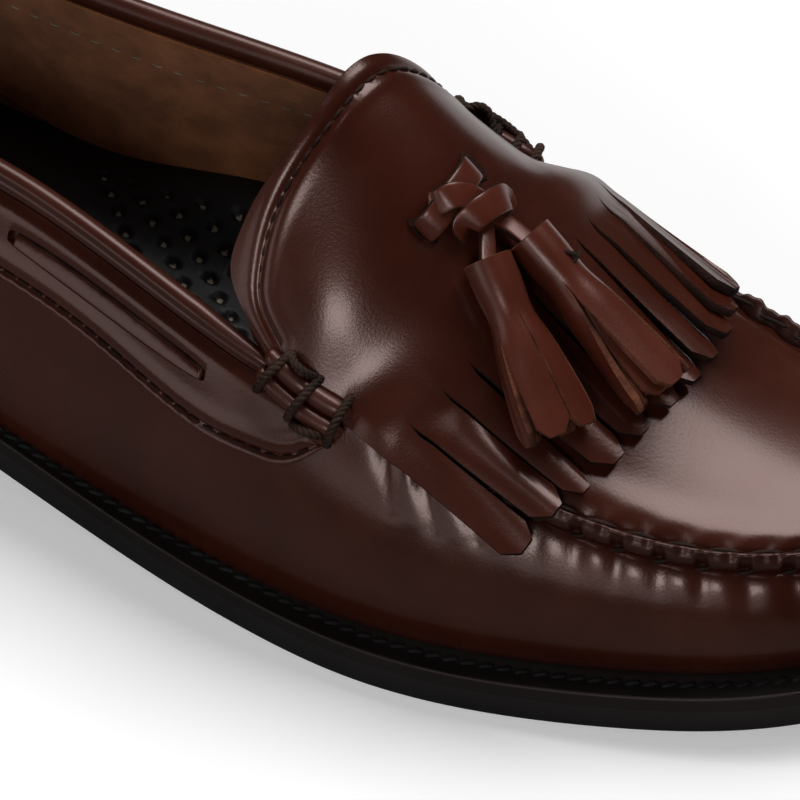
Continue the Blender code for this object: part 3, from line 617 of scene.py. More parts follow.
def plate(loops, under, over, across=12):
    """Stack of loops with two caps; each cap joins mirrored ring places by rows that follow a height."""
    index = numbers(loops)
    levels, count = index.shape
    half = count // 2
    near, far = np.arange(1, half), count - np.arange(1, half)
    share = np.linspace(0, 1, across + 1)[None, :, None]
    parts, quads, used = [loops.reshape(-1, 3)], [grid_quads(index, wrap=True)], index.size
    for level, turn, height in ((0, -1, under), (levels - 1, 1, over)):
        lateral, medial = loops[level][near], loops[level][far]
        cap = lateral[:, None] + (medial - lateral)[:, None] * share
        cap[..., 2] = height(cap[..., 0])
        number = numbers(cap, used)
        number[:, 0], number[:, -1] = index[level][near], index[level][far]
        quads.append(grid_quads(number[:, ::-turn]))
        for end, row, flip in ((0, 0, turn), (half, -1, -turn)):
            quads.append(cap_quads(np.concatenate([index[level][[end]], number[row]]))[:, ::flip])
        parts.append(cap.reshape(-1, 3))
        used += number.size
    return np.concatenate(parts), np.concatenate(quads)


def loop_stack(u, rows):
    """One loop of the outline for each (inset, height) row."""
    return np.array([edge_loop(u, inset, height) for inset, height in rows])


sole_u = ROWS * np.arange(RING_FINE) / RING_FINE
outsole = plate(loop_stack(sole_u, OUTSOLE_SIDE), tread, lambda x: tread(x) + OUTSOLE_TOP)
piece("outsole_plate", outsole, ["black_sole_edge"], ["outsole"], sharp=40)

# %% [markdown]
# The welt is a ring: its top is the ledge that shows round the upper, with a groove where the thread lies
# and a thin raised bead along the outer edge that catches the light. Its stitches lie slanted in the groove.
# A stitch is a short capsule of thread, and one function sews any line of them along a dense path.

# %% Welt ring and its stitches
WELT_BASE = 6.25
WELT_PITCH = 3.4
STITCH_INSET, GROOVE_HALF = 3.9, 0.9
WELT_SIDE = ((0.0, WELT_BASE), (0.0, 8.2), (-0.12, 8.7), (-0.16, 9.1), (0.0, 9.45), (0.35, 9.5), (0.7, 9.28))


def groove_inset(u):
    """How far the stitched groove lies in from the edge: an even inset, but always on the ledge."""
    return np.minimum(STITCH_INSET, ring(u, "ledge")[:, 0] - GROOVE_HALF)


groove, under_wall = groove_inset(sole_u), ring(sole_u, "ledge")[:, 0] + 2.0
welt_top = ((groove - GROOVE_HALF, 9.2), (groove, 8.85), (groove + GROOVE_HALF, 9.15),
            (under_wall, 9.25), (under_wall, WELT_BASE))
loops = loop_stack(sole_u, WELT_SIDE + welt_top)
index = numbers(loops)
quads = grid_quads(np.concatenate([index, index[:1]]), wrap=True)
piece("welt_strip", (loops.reshape(-1, 3), quads), ["black_welt"], ["welt"], sharp=60)


def stitches(centre, along, up, length, radius, bow=0.25, twist=1.0):
    """Short thread capsules: a round bar whose radius closes at both ends and whose middle bows up."""
    rings, sides = 7, 6
    run = np.linspace(-1, 1, rings)
    swell = radius * np.sqrt(np.clip(1 - np.abs(run) ** 3, 0.04, 1)) * (1 + 0.08 * np.cos(9 * run * twist))
    turn = 2 * np.pi * np.arange(sides) / sides
    side = np.cross(up, along)
    spine = (centre[:, None] + along[:, None] * (run * length / 2)[None, :, None]
             + up[:, None] * (bow * (1 - run ** 2) - 0.3 * bow)[None, :, None])
    points = (spine[:, :, None]
              + side[:, None, None] * (swell[:, None] * np.cos(turn)[None])[None, :, :, None]
              + up[:, None, None] * (swell[:, None] * np.sin(turn)[None])[None, :, :, None])
    one = np.arange(rings * sides).reshape(rings, sides)
    cell = np.concatenate([grid_quads(one, wrap=True), cap_quads(one[0])[:, ::-1], cap_quads(one[-1])])
    quads = (cell[None] + (np.arange(len(centre)) * rings * sides)[:, None, None]).reshape(-1, 4)
    return points.reshape(-1, 3), quads


def sewn_line(path, facing, pitch, length, radius, slant=0.0, **bend):
    """A stitch every pitch millimetres along a dense path, standing on its facing, turned aside by slant."""
    run = run_along(path)
    at = np.arange(pitch / 2, run[-1], pitch)
    along = unit(read_rows(at + 0.3, run, path) - read_rows(at - 0.3, run, path))
    up = unit(read_rows(at, run, facing))
    along = unit(along + slant * np.cross(up, along))
    return stitches(read_rows(at, run, path), along, up, length, radius, **bend)


loop_u = np.linspace(0, ROWS, 4000)
line = edge_loop(loop_u, groove_inset(loop_u), 9.0)
sewn = sewn_line(line, np.broadcast_to(UP, line.shape), WELT_PITCH, 3.2, 0.55, slant=0.35)
piece("welt_stitches", sewn, ["black_thread"])

# %% [markdown]
# The heel is a block with a straight breast. A fine groove parts the top lift, the layer that meets the
# floor, from the stacked block above it. Top and bottom are fans of quads round a middle point.

# %% Heel block
HEEL_BREAST = 72.0
SEAT_GAP = 0.1
BREAST_POINTS = 27
HEEL_SIDE = ((1.2, 0.0), (0.6, 0.25), (0.4, 0.9), (0.4, 5.6), (0.75, 5.9), (0.75, 6.2), (0.4, 6.5))


def heel_loop(inset):
    """Outline behind the breast, closed by the straight breast, drawn in by inset."""
    u = np.linspace(0, 4, 480)
    sides = ring(u, *EDGE), ring(ROWS - u, *EDGE)
    reach = sides[0][:, 0] < HEEL_BREAST
    corner = [np.array([HEEL_BREAST, np.interp(HEEL_BREAST, side[:, 0], side[:, 1])]) for side in sides]
    breast = corner[0] + (corner[1] - corner[0]) * np.linspace(0, 1, BREAST_POINTS)[:, None]
    loop = np.concatenate([sides[0][reach][::3], breast, sides[1][reach][::-1][::3][:-1]])
    step = np.roll(loop, -1, axis=0) - np.roll(loop, 1, axis=0)
    return loop - inset * unit(np.stack([step[:, 1], -step[:, 0]], axis=-1))


seat = heel_loop(0.4)
levels = [np.column_stack([heel_loop(inset), np.full(len(seat), height)]) for inset, height in HEEL_SIDE]
loops = np.array(levels + [np.column_stack([seat, tread(seat[:, 0]) - SEAT_GAP])])
index = numbers(loops)
middle = loops[[0, -1]].mean(axis=1)
middle[1, 2] = tread(middle[1, 0]) - SEAT_GAP
faces = [grid_quads(index, wrap=True)]
for level, centre_number, turn in ((0, index.size, -1), (-1, index.size + 1, 1)):
    first, second, third = (np.roll(index[level], -step)[::2] for step in range(3))
    faces.append(np.stack([np.full(first.shape, centre_number), first, second, third], axis=-1)[:, ::turn])
heel = np.concatenate([loops.reshape(-1, 3), middle]), np.concatenate(faces)
piece("heel_block", heel, ["black_sole_edge"], ["heel"], sharp=35)

# %% [markdown]
# ## Insole
#
# The foot stands on a black padded sock with punched holes whose pale bottoms show. The sock is a fine grid
# over the sole's outline. Each hole is a smooth dip worked out from the distance to the nearest point of a
# slanting grid, and an attribute carries that depth to the material.

# %% Footbed and its holes
FOOTBED, TOE_FALL, ARCH_RISE, BORDER_TILT = 16.5, 4.2, 7.0, 9.0
HOLE_STEPS = np.array(((3.85, 3.30), (3.75, -2.85)))
HOLE_START = np.array((121.6, 14.7))
HOLE_RADIUS, HOLE_SOFT, HOLE_DEEP, NO_HOLE = 0.95, 0.4, 1.5, 9.0
FIELD_AT, FIELD_TURN, FIELD_EDGE = np.array((114.8, 14.0)), np.array((0.683, 0.730)), -1.6
FIELD_BORDER, FIELD_TOE = 7.0, 190.0
ROW_AT, ROW_EDGE, ROW_PITCH = np.array((106.7, 12.5)), -6.1, 4.2


def insole_top(x, y):
    """Footbed: tread plus padding that falls toward the toes, an arch rise and a tilted medial border.

    Every part is a product of smooth steps, each written as place minus start over length, in millimetres.
    """
    fall = ease((x - 125.0) / 70.0)
    arch = ease((x - 60.0) / 55.0) * ease((185.0 - x) / 70.0) * ease((y - 4.0) / 24.0)
    ends = ease((x - 25.0) / 40.0) * ease((195.0 - x) / 50.0)
    border = (ease((x - 95.0) / 45.0) - 0.5) * ends * ease((y - 14.0) / 13.0)
    return tread(x) + FOOTBED - TOE_FALL * fall + ARCH_RISE * arch + BORDER_TILT * border


def hole_depth(flat, to_edge):
    """Dip of the sock: discs on a slanting grid before a diagonal line, and one row of discs behind it."""
    from_start = flat - HOLE_START
    cell = np.round(from_start @ np.linalg.inv(HOLE_STEPS)) @ HOLE_STEPS
    in_field = (cell + HOLE_START - FIELD_AT) @ FIELD_TURN > FIELD_EDGE
    from_grid = np.where(in_field, np.linalg.norm(from_start - cell, axis=-1), NO_HOLE)
    across = (flat - ROW_AT) @ (FIELD_TURN[1], -FIELD_TURN[0])
    behind = (flat - FIELD_AT) @ FIELD_TURN - ROW_EDGE
    from_row = np.hypot(across - np.round(across / ROW_PITCH) * ROW_PITCH, behind)
    punched = (to_edge > FIELD_BORDER) & (flat[..., 0] < FIELD_TOE)
    nearest = np.where(punched, np.minimum(from_grid, from_row), NO_HOLE)
    return 1 - ease((nearest - HOLE_RADIUS) / HOLE_SOFT + 0.5)


# %% [markdown]
# The sock reaches out to where the footbed meets the inside of the wall. Its underside is flat, so two points
# in each row are enough there, and the fine grid is kept for the top.

# %% Sock with punched holes
SOCK_ROWS, SOCK_COLUMNS = 520, 150
SOCK_INSET, SOCK_UNDER = 2.1, 6.6
SOCK_BLACK, HOLE_PALE = (0.0085, 0.0076, 0.0078), (0.40, 0.35, 0.25)
sock_u = ROWS * np.arange(2 * SOCK_ROWS) / (2 * SOCK_ROWS)
side_t = np.linspace(0, 0.5, 80)
side = wall(sock_u[:, None], side_t[None])
sock_t = side_t[(side[..., 2] > insole_top(side[..., 0], side[..., 1])).argmax(axis=1)]
sock_edge = off_wall(sock_u, sock_t, -SOCK_INSET)
lateral, medial = sock_edge[1:SOCK_ROWS], sock_edge[-np.arange(1, SOCK_ROWS)]
share = np.linspace(0, 1, SOCK_COLUMNS)[None, :, None]
top = lateral[:, None] + (medial - lateral)[:, None] * share
to_edge = np.minimum(share, 1 - share)[..., 0] * np.linalg.norm(medial - lateral, axis=-1)[:, None]
depth = hole_depth(top[..., :2], to_edge)
top[..., 2] = insole_top(top[..., 0], top[..., 1]) - HOLE_DEEP * depth - 0.6 * np.exp(-to_edge / 1.2)
under = top[:, [0, -1]].copy()
under[..., 2] = tread(under[..., 0]) + SOCK_UNDER
above, below = numbers(top), numbers(under, depth.size)
around = np.stack([below[:, 1], below[:, 0], above[:, 0]], axis=-1)
far_side = np.stack([above[:, -1], below[:, 1]], axis=-1)
ends = [np.concatenate([below[row, :1], above[row], below[row, 1:]]) for row in (0, -1)]
quads = np.concatenate([grid_quads(above), grid_quads(around), grid_quads(far_side),
                        cap_quads(ends[0])[:, ::-1], cap_quads(ends[1])])
points = np.concatenate([top.reshape(-1, 3), under.reshape(-1, 3)])
depth = np.concatenate([depth.ravel(), np.zeros(below.size)])


def sock_material():
    """Matt black sock; the hole attribute turns the bottoms pale, and the grain group gives the bump."""
    made, tree, shader = start_material("black_sock")
    group = node_of(tree, "ShaderNodeGroup", node_tree=GRAIN, Pores=1600.0)
    hole = node_of(tree, "ShaderNodeAttribute", attribute_name="hole")
    bottom = tint(tree, hole.outputs["Fac"], SOCK_BLACK, HOLE_PALE, 0.78, 0.97)
    tree.links.new(bottom, shader.inputs["Base Color"])
    tree.links.new(spread(tree, group.outputs["Cloud"], 0.46, 0.58), shader.inputs["Roughness"])
    bumped(tree, shader, group.outputs["Height"], 0.2, 0.0002)
    fill(shader, Specular_IOR_Level=0.35)
    return made


FINISH["black_sock"] = sock_material()
sock = piece("padded_sock", (points, quads), ["black_sock"], ["insole"], 70, {"hole": depth})

# %% [markdown]
# ## Side wall of the upper
#
# The wall is drawn tight over the last and gathered into the seam, so small puckers stand below each stitch
# and fade down the side. They are bumps along the seam's own length, at the stitch pitch, that fall off with
# the distance from the seam. A few creases below the overlay are listed, each as a segment on the
# wall with a height and a width.

# %% Side wall with puckers
SEAM_PITCH = 7.7
WALL_STEPS = 560
LEATHER_WALL = 1.2
PUCKER_HIGH, PUCKER_DOWN, PUCKER_WIDE = 0.55, 4.2, 3.6
SWELL_HIGH, SWELL_DOWN, SWELL_WIDE = 0.14, 10.0, 5.0
UNDER_DEEP, UNDER_DOWN, UNDER_WIDE = 0.6, 1.0, 1.2
table_u = np.linspace(0, ROWS, 3201)
table_run = run_along(ring(table_u, *WALL_TOP))
CREASES = (
    (4.80, 0.95, 4.88, 0.74, -0.60, 1.7),
    (4.90, 0.95, 4.98, 0.72, 0.45, 2.2),
    (5.00, 0.95, 5.09, 0.72, -0.65, 1.6),
    (5.10, 0.95, 5.19, 0.74, 0.45, 2.0),
    (5.20, 0.95, 5.29, 0.74, -0.60, 1.5),
    (5.30, 0.95, 5.38, 0.76, 0.40, 1.8),
    (5.39, 0.95, 5.46, 0.78, -0.50, 1.4),
)


def seam_run(u):
    """Length along the wall's top from the toe tip to ring place u, in millimetres."""
    return np.interp(np.mod(u, ROWS), table_u, table_run) - np.interp(TOE, table_u, table_run)


def seam_wave(u, sharpness=1.0):
    """1 in the middle between two stitches and 0 at a stitch: a raised cosine to a power."""
    return (0.5 - 0.5 * np.cos(2 * np.pi * seam_run(u) / SEAM_PITCH)) ** sharpness


def seam_part(u, end=SEAM_END_P, fade=0.5):
    """1 along the apron seam, easing to 0 toward the rolls."""
    return ease((end - np.abs(np.mod(u, ROWS) - TOE)) / fade)


def to_segment(points, a, b):
    """Distance from points to a segment, and the share along it."""
    line = b - a
    share = np.clip(((points - a) @ line) / (line @ line), 0, 1)
    return np.linalg.norm(points - a - share[..., None] * line, axis=-1), share


def vamp(u, t):
    """Wall plus its relief: puckers near the seam, a groove under the seam, and the listed creases."""
    base = wall(u, t)
    down = np.linalg.norm(base - wall(u, 1.0), axis=-1)
    uneven = 0.8 + 0.2 * np.sin(0.37 * seam_run(u))
    relief = PUCKER_HIGH * uneven * seam_wave(u, 0.6) * bell(down - PUCKER_DOWN, PUCKER_WIDE)
    relief += SWELL_HIGH * seam_wave(u) * bell(down - SWELL_DOWN, SWELL_WIDE)
    relief -= UNDER_DEEP * bell(down - UNDER_DOWN, UNDER_WIDE)
    relief *= seam_part(u)
    for from_u, from_t, to_u, to_t, high, wide in CREASES:
        distance, share = to_segment(base, wall(from_u, from_t), wall(to_u, to_t))
        relief += high * (1 - 0.6 * share) * bell(distance, wide)
    return base + relief[..., None] * wall_normal(u, t)


wall_u = ROWS * np.arange(WALL_STEPS) / WALL_STEPS
wall_t = np.concatenate([np.linspace(0, 0.66, 16)[:-1], np.linspace(0.66, 1.0, 30)])
grid_u, grid_t = np.meshgrid(wall_u, wall_t)
outer = vamp(grid_u, grid_t)
outer[0, :, 2] -= 0.25
walls = sheet(outer, off_wall(grid_u, grid_t, -LEATHER_WALL), wrap=True)
piece("vamp_wall", walls, UPPER_FINISHES, ["upper"])

# %% [markdown]
# ## Apron and tongue
#
# The apron closes the top of the foot from seam to seam and runs back into the tongue. The stitches pull
# small dimples into its border, so the surface dips at each stitch and swells between them.

# %% Apron grid
APRON_THICK = 1.6
apron_p = np.concatenate([np.linspace(0.03, 2.6, 110)[:-1], np.linspace(2.6, TONGUE_P - 0.14, 40)])
apron_v = 0.5 - 0.5 * np.cos(np.pi * np.linspace(0.04, 0.96, 84)) / np.cos(np.pi * 0.04)
grid_p, grid_v = np.meshgrid(apron_p, apron_v, indexing="ij")
width = instep_width(apron_p)[:, None]
lift = np.zeros_like(grid_p)
for seam_u, from_seam in ((TOE - grid_p, grid_v * width), (TOE + grid_p, (1 - grid_v) * width)):
    lift += 0.8 * bell(from_seam - 5.0, 4.5) - 0.9 * (1 - seam_wave(seam_u, 1.3)) * bell(from_seam, 3.0)
lift *= seam_part(TOE - grid_p, 3.4, 0.4) * ease(grid_p / 0.5)
base, up = instep(grid_p, grid_v), instep_normal(grid_p, grid_v)
apron = sheet(base + lift[..., None] * up, base - APRON_THICK * up, flip=True)
piece("apron_tongue", apron, UPPER_FINISHES)

# %% [markdown]
# ## The raised seam
#
# Wall and apron are turned up and sewn edge to edge, which leaves a fin about 3 mm high. Seen from outside it
# is a row of square lumps, pinched in where a thread goes over, with a thin wavy raw lip on top. The fin is a
# closed profile carried along the seam, and the profile's outer side moves in at each stitch.

# %% Seam fin
FIN_PROFILE = np.array((
    (-1.5, -0.7), (-1.2, 0.6), (-0.7, 1.7), (-0.25, 2.6), (0.0, 3.15), (0.3, 3.4), (0.7, 3.38), (0.92, 3.05),
    (1.15, 2.75), (1.7, 2.45), (2.0, 1.7), (2.05, 0.7), (1.9, -0.3), (1.3, -1.1), (0.3, -1.3), (-0.8, -1.1),
))
SEAM_END = 3.35
SEAM_SHOWN = 2.62
fin_u = np.linspace(TOE - SEAM_END, TOE + SEAM_END, 1300)
fin_path = ring(fin_u, *WALL_TOP)
fin_along = np.gradient(fin_path, axis=0)
fin_up = unit(UP + 0.25 * unit(np.cross(fin_along, UP)))
fin_side = unit(np.cross(fin_along, fin_up))
shown = ease((SEAM_SHOWN - np.abs(fin_u - TOE)) / 0.25)
tall = (0.5 + 0.5 * shown) * seam_part(fin_u, SEAM_END, 0.3)
run = seam_run(fin_u)
pinch = np.exp(-(((run / SEAM_PITCH + 0.5) % 1 - 0.5) / 0.15) ** 4)
across, over = FIN_PROFILE.T
outer_side = np.clip((across - 0.9) / 0.9, 0, 1) * (over > -1.2)
ripple = 0.26 * np.sin(2 * np.pi * run / SEAM_PITCH + 0.6) + 0.14 * np.sin(2 * np.pi * run / 2.9)
profile = np.broadcast_to(FIN_PROFILE, (len(run),) + FIN_PROFILE.shape).copy()
profile[..., 0] += 0.8 * ripple[:, None] * (over > 2.9) - pinch[:, None] * outer_side
profile[..., 1] += ripple[:, None] * np.clip(over / 3.0, 0, 1)
profile[..., 1] *= np.where(profile[..., 1] > 0, tall[:, None], 1.0)
# The fin takes the darker seam leather: the wall's own leather with painted shade in its colour.
piece("seam_fin", bar(fin_path, fin_side, fin_up, profile), ["shaded_seam_leather"], sharp=80)

# %% [markdown]
# The thread shows twice: as long twisted dashes lying along the inner side of the fin, and as short slanting
# bits in the crease below its outer side.

# %% Seam thread
THREAD_SHOWN = 2.66
stitch_number = np.arange(-14, 15)


def stitch_places(number):
    """Ring places of counted stitches along the seam, where the fin shows."""
    u = np.interp(number * SEAM_PITCH, run, fin_u)
    return u[np.abs(u - TOE) < THREAD_SHOWN]


def on_fin(u, across, over):
    """Point of the fin's own frame (across outward, over upward) at ring place u, with its two directions."""
    path, side, up = (read_rows(u, fin_u, field) for field in (fin_path, fin_side, fin_up))
    return path + across * side + over * up, side, up


centre, side, up = on_fin(stitch_places(stitch_number[:-1] + 0.5), -0.75, 2.0)
dashes = stitches(centre, unit(np.cross(up, side)), unit(up - 0.5 * side), 6.6, 0.45, bow=0.25, twist=1.8)
centre, side, up = on_fin(stitch_places(stitch_number), 1.75, -0.75)
bits = stitches(centre, unit(np.cross(up, side) + 0.35 * up), side, 4.2, 0.42, bow=0.3)
piece("seam_thread", join([dashes, bits]), ["dark_thread"], sharp=80)

# %% [markdown]
# ## Kiltie
#
# The overlay runs from the top of the tongue to a fringe of cut strips. One mesh holds it all: a body grid
# whose front row is shared by the strips, so every slit ends in a real corner. A stitched line follows the
# rear edge, the thong's slots pull dimples, soft troughs run in from the rolls, and a low dome above the
# lateral roll gives the broad highlight of the instep.

# %% Overlay sizes and relief
KILTIE_THICK = 1.7
SLIT_W = np.array((0.0, 0.086, 0.176, 0.253, 0.358, 0.464, 0.570, 0.675, 0.760, 0.859, 0.948, 1.0))
SLIT_P = np.array((3.18, 3.150, 3.090, 3.055, 3.04, 3.03, 3.03, 3.045, 3.080, 3.140, 3.200, 3.23))
FAR_BULGE = 3.5
NEAR_EDGE_P = np.array((2.44, 2.74, 2.92, 3.16, 3.39, 3.60, 4.40))
NEAR_EDGE_W = np.array((-0.016, 0.013, 0.012, -0.020, -0.050, -0.020, 0.0))[:, None]
REAR_W = np.array((0.0, 0.033, 0.061, 0.113, 0.188, 0.281, 0.404, 0.621, 0.85, 1.0))
REAR_P = np.array((4.40, 4.47, 4.48, 4.42, 4.37, 4.325, 4.32, 4.42, 4.40, 4.36))[:, None]
LINE_W = np.array((0.017, 0.045, 0.093, 0.167, 0.255, 0.382, 0.583, 0.720, 0.80, 0.87, 0.93, 0.975, 0.99))
LINE_P = np.array((4.02, 4.14, 4.19, 4.214, 4.219, 4.20, 4.244, 4.261, 4.25, 4.23, 4.19, 4.10, 4.0))[:, None]
LINE_STEPS = 400
SLOTS = ((3.492, 0.568, 1.5), (3.484, 0.341, 0.8))
TROUGHS = (
    (3.42, 0.00, 3.47, 0.30, -1.1, 9.0),
    (3.44, 0.98, 3.40, 0.80, -1.0, 5.0),
    (3.28, 0.04, 3.14, 0.16, 0.9, 5.0),
)
SADDLE_AT, SADDLE_HIGH, SADDLE_WIDE = (3.62, 0.14), 1.7, 15.0


def overlay(p, w, lift=KILTIE_THICK):
    """The overlay with its near edge moved to a table of places, and a soft bulge on the far flank."""
    p, w = np.broadcast_arrays(np.asarray(p, float), np.asarray(w, float))
    shift = spline(NEAR_EDGE_P, NEAR_EDGE_W, p)[..., 0]
    bulge = FAR_BULGE * bell(p - 3.22, 0.20) * ease((w - 0.60) / 0.3)
    return kiltie(p, w + shift * np.exp(-np.clip(w, 0, None) / 0.12), lift + bulge)


line_w = np.interp(np.linspace(0, 1, LINE_STEPS), np.linspace(0, 1, len(LINE_W)), LINE_W)
line_p = spline(LINE_W, LINE_P, line_w)[..., 0]
line_points = overlay(line_p, line_w)


def overlay_relief(points):
    """Height over the plain overlay: groove of the sewn line, dimples at the slots, troughs and dome."""
    flat = np.array_split(points.reshape(-1, 3), 40)
    near_line = np.concatenate([np.linalg.norm(part[:, None] - line_points[::2], axis=-1).min(axis=1)
                                for part in flat]).reshape(points.shape[:-1])
    relief = 0.18 * bell(near_line - 2.0, 1.2) - 0.5 * bell(near_line, 0.7)
    for p, w, _ in SLOTS:
        relief -= 0.8 * bell(np.linalg.norm(points - overlay(p, w), axis=-1), 3.6)
    for from_p, from_w, to_p, to_w, high, wide in TROUGHS:
        distance, share = to_segment(points, overlay(from_p, from_w), overlay(to_p, to_w))
        relief += high * (1 - 0.5 * share) * bell(distance, wide)
    return relief + SADDLE_HIGH * bell(np.linalg.norm(points - overlay(*SADDLE_AT), axis=-1), SADDLE_WIDE)


# %% [markdown]
# Each strip is stiff leather, so it leaves the foot nearly straight. Its place is a mix of the overlay's
# own surface and the straight line from its root to its tip. It is a little crowned, and both corners are
# cut off. The table gives each strip's tip, half width, lift, gap, tilt, crown and stiffness, from the
# lateral side.

# %% Overlay mesh
STRIP_COLUMNS = 14
STRIP_ROWS = 30
BODY_ROWS = 78
STRIPS = (
    (0.038, 2.370, 0.050, 0.5, 0.004, 0.0, 0.35, 0.90),
    (0.138, 2.360, 0.047, 1.5, 0.004, 0.4, 1.00, 0.75),
    (0.212, 2.317, 0.032, 0.3, 0.004, 0.0, 0.50, 0.70),
    (0.306, 2.297, 0.045, 1.0, 0.004, 0.2, 0.50, 0.60),
    (0.399, 2.293, 0.045, 0.5, 0.005, 0.0, 0.50, 0.60),
    (0.505, 2.286, 0.045, 0.9, 0.005, 0.2, 0.60, 0.60),
    (0.592, 2.291, 0.044, 1.6, 0.005, 0.3, 0.50, 0.65),
    (0.663, 2.305, 0.042, 3.2, 0.006, 0.3, 0.50, 0.70),
    (0.732, 2.339, 0.042, 5.0, 0.006, 0.3, 0.40, 0.80),
    (0.781, 2.388, 0.040, 6.6, 0.006, 0.3, 0.40, 0.85),
    (0.825, 2.446, 0.034, 7.8, 0.006, 0.3, 0.30, 0.90),
)


def divided(cuts, share):
    """Places from the first cut to the last: each stretch between two cuts is divided by the same shares."""
    return np.concatenate([cuts[:1]] + [a + (b - a) * share[1:] for a, b in zip(cuts[:-1], cuts[1:])])


strip_share = np.linspace(0, 1, STRIP_COLUMNS + 1)
row_w = divided(SLIT_W, strip_share)
front_p = np.interp(row_w, SLIT_W, SLIT_P)
rear_p = spline(REAR_W, REAR_P, row_w)[:, 0]
body_p = rear_p + (front_p - rear_p)[None] * np.linspace(0, 1, BODY_ROWS)[:, None]
body_w = np.broadcast_to(row_w, body_p.shape)
relief = overlay_relief(overlay(body_p, body_w))
body = overlay(body_p, body_w, KILTIE_THICK + relief)
body_index = numbers(body)
parts, quads, used = [body.reshape(-1, 3)], [grid_quads(body_index[:, ::-1])], body_index.size
part = (2 * strip_share - 1)[None]
corner_cut = 0.085 * np.clip((np.abs(part) - 0.42) / 0.58, 0, 1)
reach = np.linspace(0, 1, STRIP_ROWS + 1)[1:, None]
for strip, (end_w, end_p, half, rise, gap, tilt, crowned, stiff) in enumerate(STRIPS):
    columns = slice(strip * STRIP_COLUMNS, (strip + 1) * STRIP_COLUMNS + 1)
    root_p, root_w, root = front_p[None, columns], row_w[None, columns], body[-1:, columns]
    tip_p, tip_w = end_p + corner_cut, end_w + part * half
    parted = ease(reach * 8)
    crown = crowned * (0.3 - part ** 2) * ease(reach * 1.2) - tilt * part * reach
    strip_w = root_w + (tip_w - root_w) * reach - gap * part * parted
    lift = KILTIE_THICK + rise * reach ** 2 + relief[-1:, columns] * (1 - ease(reach * 3))
    followed = overlay(root_p + (tip_p - root_p) * reach, strip_w, lift + crown)
    narrow = overlay(root_p, root_w - gap * part) - overlay(root_p, root_w)
    straight = root + narrow * (parted * (1 - reach))[..., None] + (followed[-1:] - root) * reach[..., None]
    followed += (straight - followed) * stiff * ease(reach * 4)[..., None]
    number = numbers(followed, used)
    parts.append(followed.reshape(-1, 3))
    quads.append(grid_quads(np.concatenate([body_index[-1:, columns], number])[:, ::-1]))
    used += number.size
outer, quads = np.concatenate(parts), np.concatenate(quads)
fringe = thick(outer, outer - KILTIE_THICK * normals(outer, quads), quads, bulge=0.25)
FRINGE_FINISHES = ("burgundy_leather", "cut_leather_edge", "cut_leather_edge")
piece("kiltie_overlay", fringe, FRINGE_FINISHES, ["kiltie"])

# %% [markdown]
# The overlay's rear edge is sewn down with dark thread. The stitches lie a little below the surface, in the
# groove that the relief left for them, and stand on the instep's own normals.

# %% Thread of the sewn line
THREAD_BEND = {"bow": 0.2, "twist": 1.8}
facing = instep_normal(np.clip(line_p, 0, TONGUE_P), np.clip(line_w, 0.02, 0.98))
sewn = sewn_line(overlay(line_p, line_w, KILTIE_THICK - 0.25), facing, 3.2, 2.95, 0.34, **THREAD_BEND)
piece("kiltie_stitches", sewn, ["dark_thread"], sharp=80)

# %% [markdown]
# ## Collar
#
# The topline is bound with rolled leather, which shows as two parallel rolls. It is one closed profile with a
# shallow groove, carried round the opening and thinned out at both ends, where the bound rolls take over.

# %% Rolled topline
BINDING_FRONT = 4.16
BIND_HALF, BIND_GROOVE, BIND_SIDES = np.array((2.35, 2.6)), 0.20, 40
bind_u = np.linspace(-BINDING_FRONT, BINDING_FRONT, 520)
turn = 2 * np.pi * np.arange(BIND_SIDES) / BIND_SIDES
radius = 1 - BIND_GROOVE * bell(turn - 0.30, 0.24)
profile = radius[:, None] * np.stack([np.cos(turn), np.sin(turn)], axis=-1) * BIND_HALF
out = outward(bind_u)
swell = 0.5 + 0.5 * np.sqrt(np.clip((BINDING_FRONT - np.abs(bind_u)) / 0.35, 0, 1))
path = ring(bind_u, *WALL_TOP) - out * 0.9 + UP * 2.4 * swell[:, None]
binding = bar(path, out, np.broadcast_to(UP, out.shape), profile, swell)
piece("rolled_topline", binding, ["rolled_leather"], ["topline_binding"], sharp=80)

# %% [markdown]
# Below the topline a sewn strip goes round the shoe, with a long window on each side where the lacing thong
# shows. The strip is one grid whose columns crowd together at the round ends of the window; the cells between
# the two window rows are left out. Its top edge is rounded down to the binding.

# %% Collar strip with its windows
STRIP_THICK = 1.4
STRIP_FRONT = 4.50
STRIP_PITCH = 3.3
STRIP_TOP_T = 0.992
LOW_ROWS, TOP_ROWS = 21, 8
LOW_U = np.array((0.0, 2.6, 3.0, 3.2, 3.5, 3.815, 4.02, 4.155, 4.35, 4.43, 4.5))
LOW_T = np.array((0.72, 0.72, 0.71, 0.715, 0.703, 0.668, 0.670, 0.689, 0.738, 0.80, 0.87))[:, None]
WINDOW_U, WINDOW_HALF_U = 3.46, 0.45
WINDOW_T, WINDOW_HALF_T = 0.878, 0.0385
WINDOW_ROUND = 0.2
WALL_LONG = 55.0
LINE_UP, LINE_UP_T = 1.9, 1.9 / 54.0


def low_edge(u):
    """Wall place t of the strip's lower edge, the same on both sides of the shoe."""
    return spline(LOW_U, LOW_T, np.abs(u))[:, 0]


def window_room(u):
    """Parabola along the window: 1 in its middle, 0 at its ends and outside."""
    return np.clip(1 - ((np.abs(u) - WINDOW_U) / WINDOW_HALF_U) ** 2, 0, None)


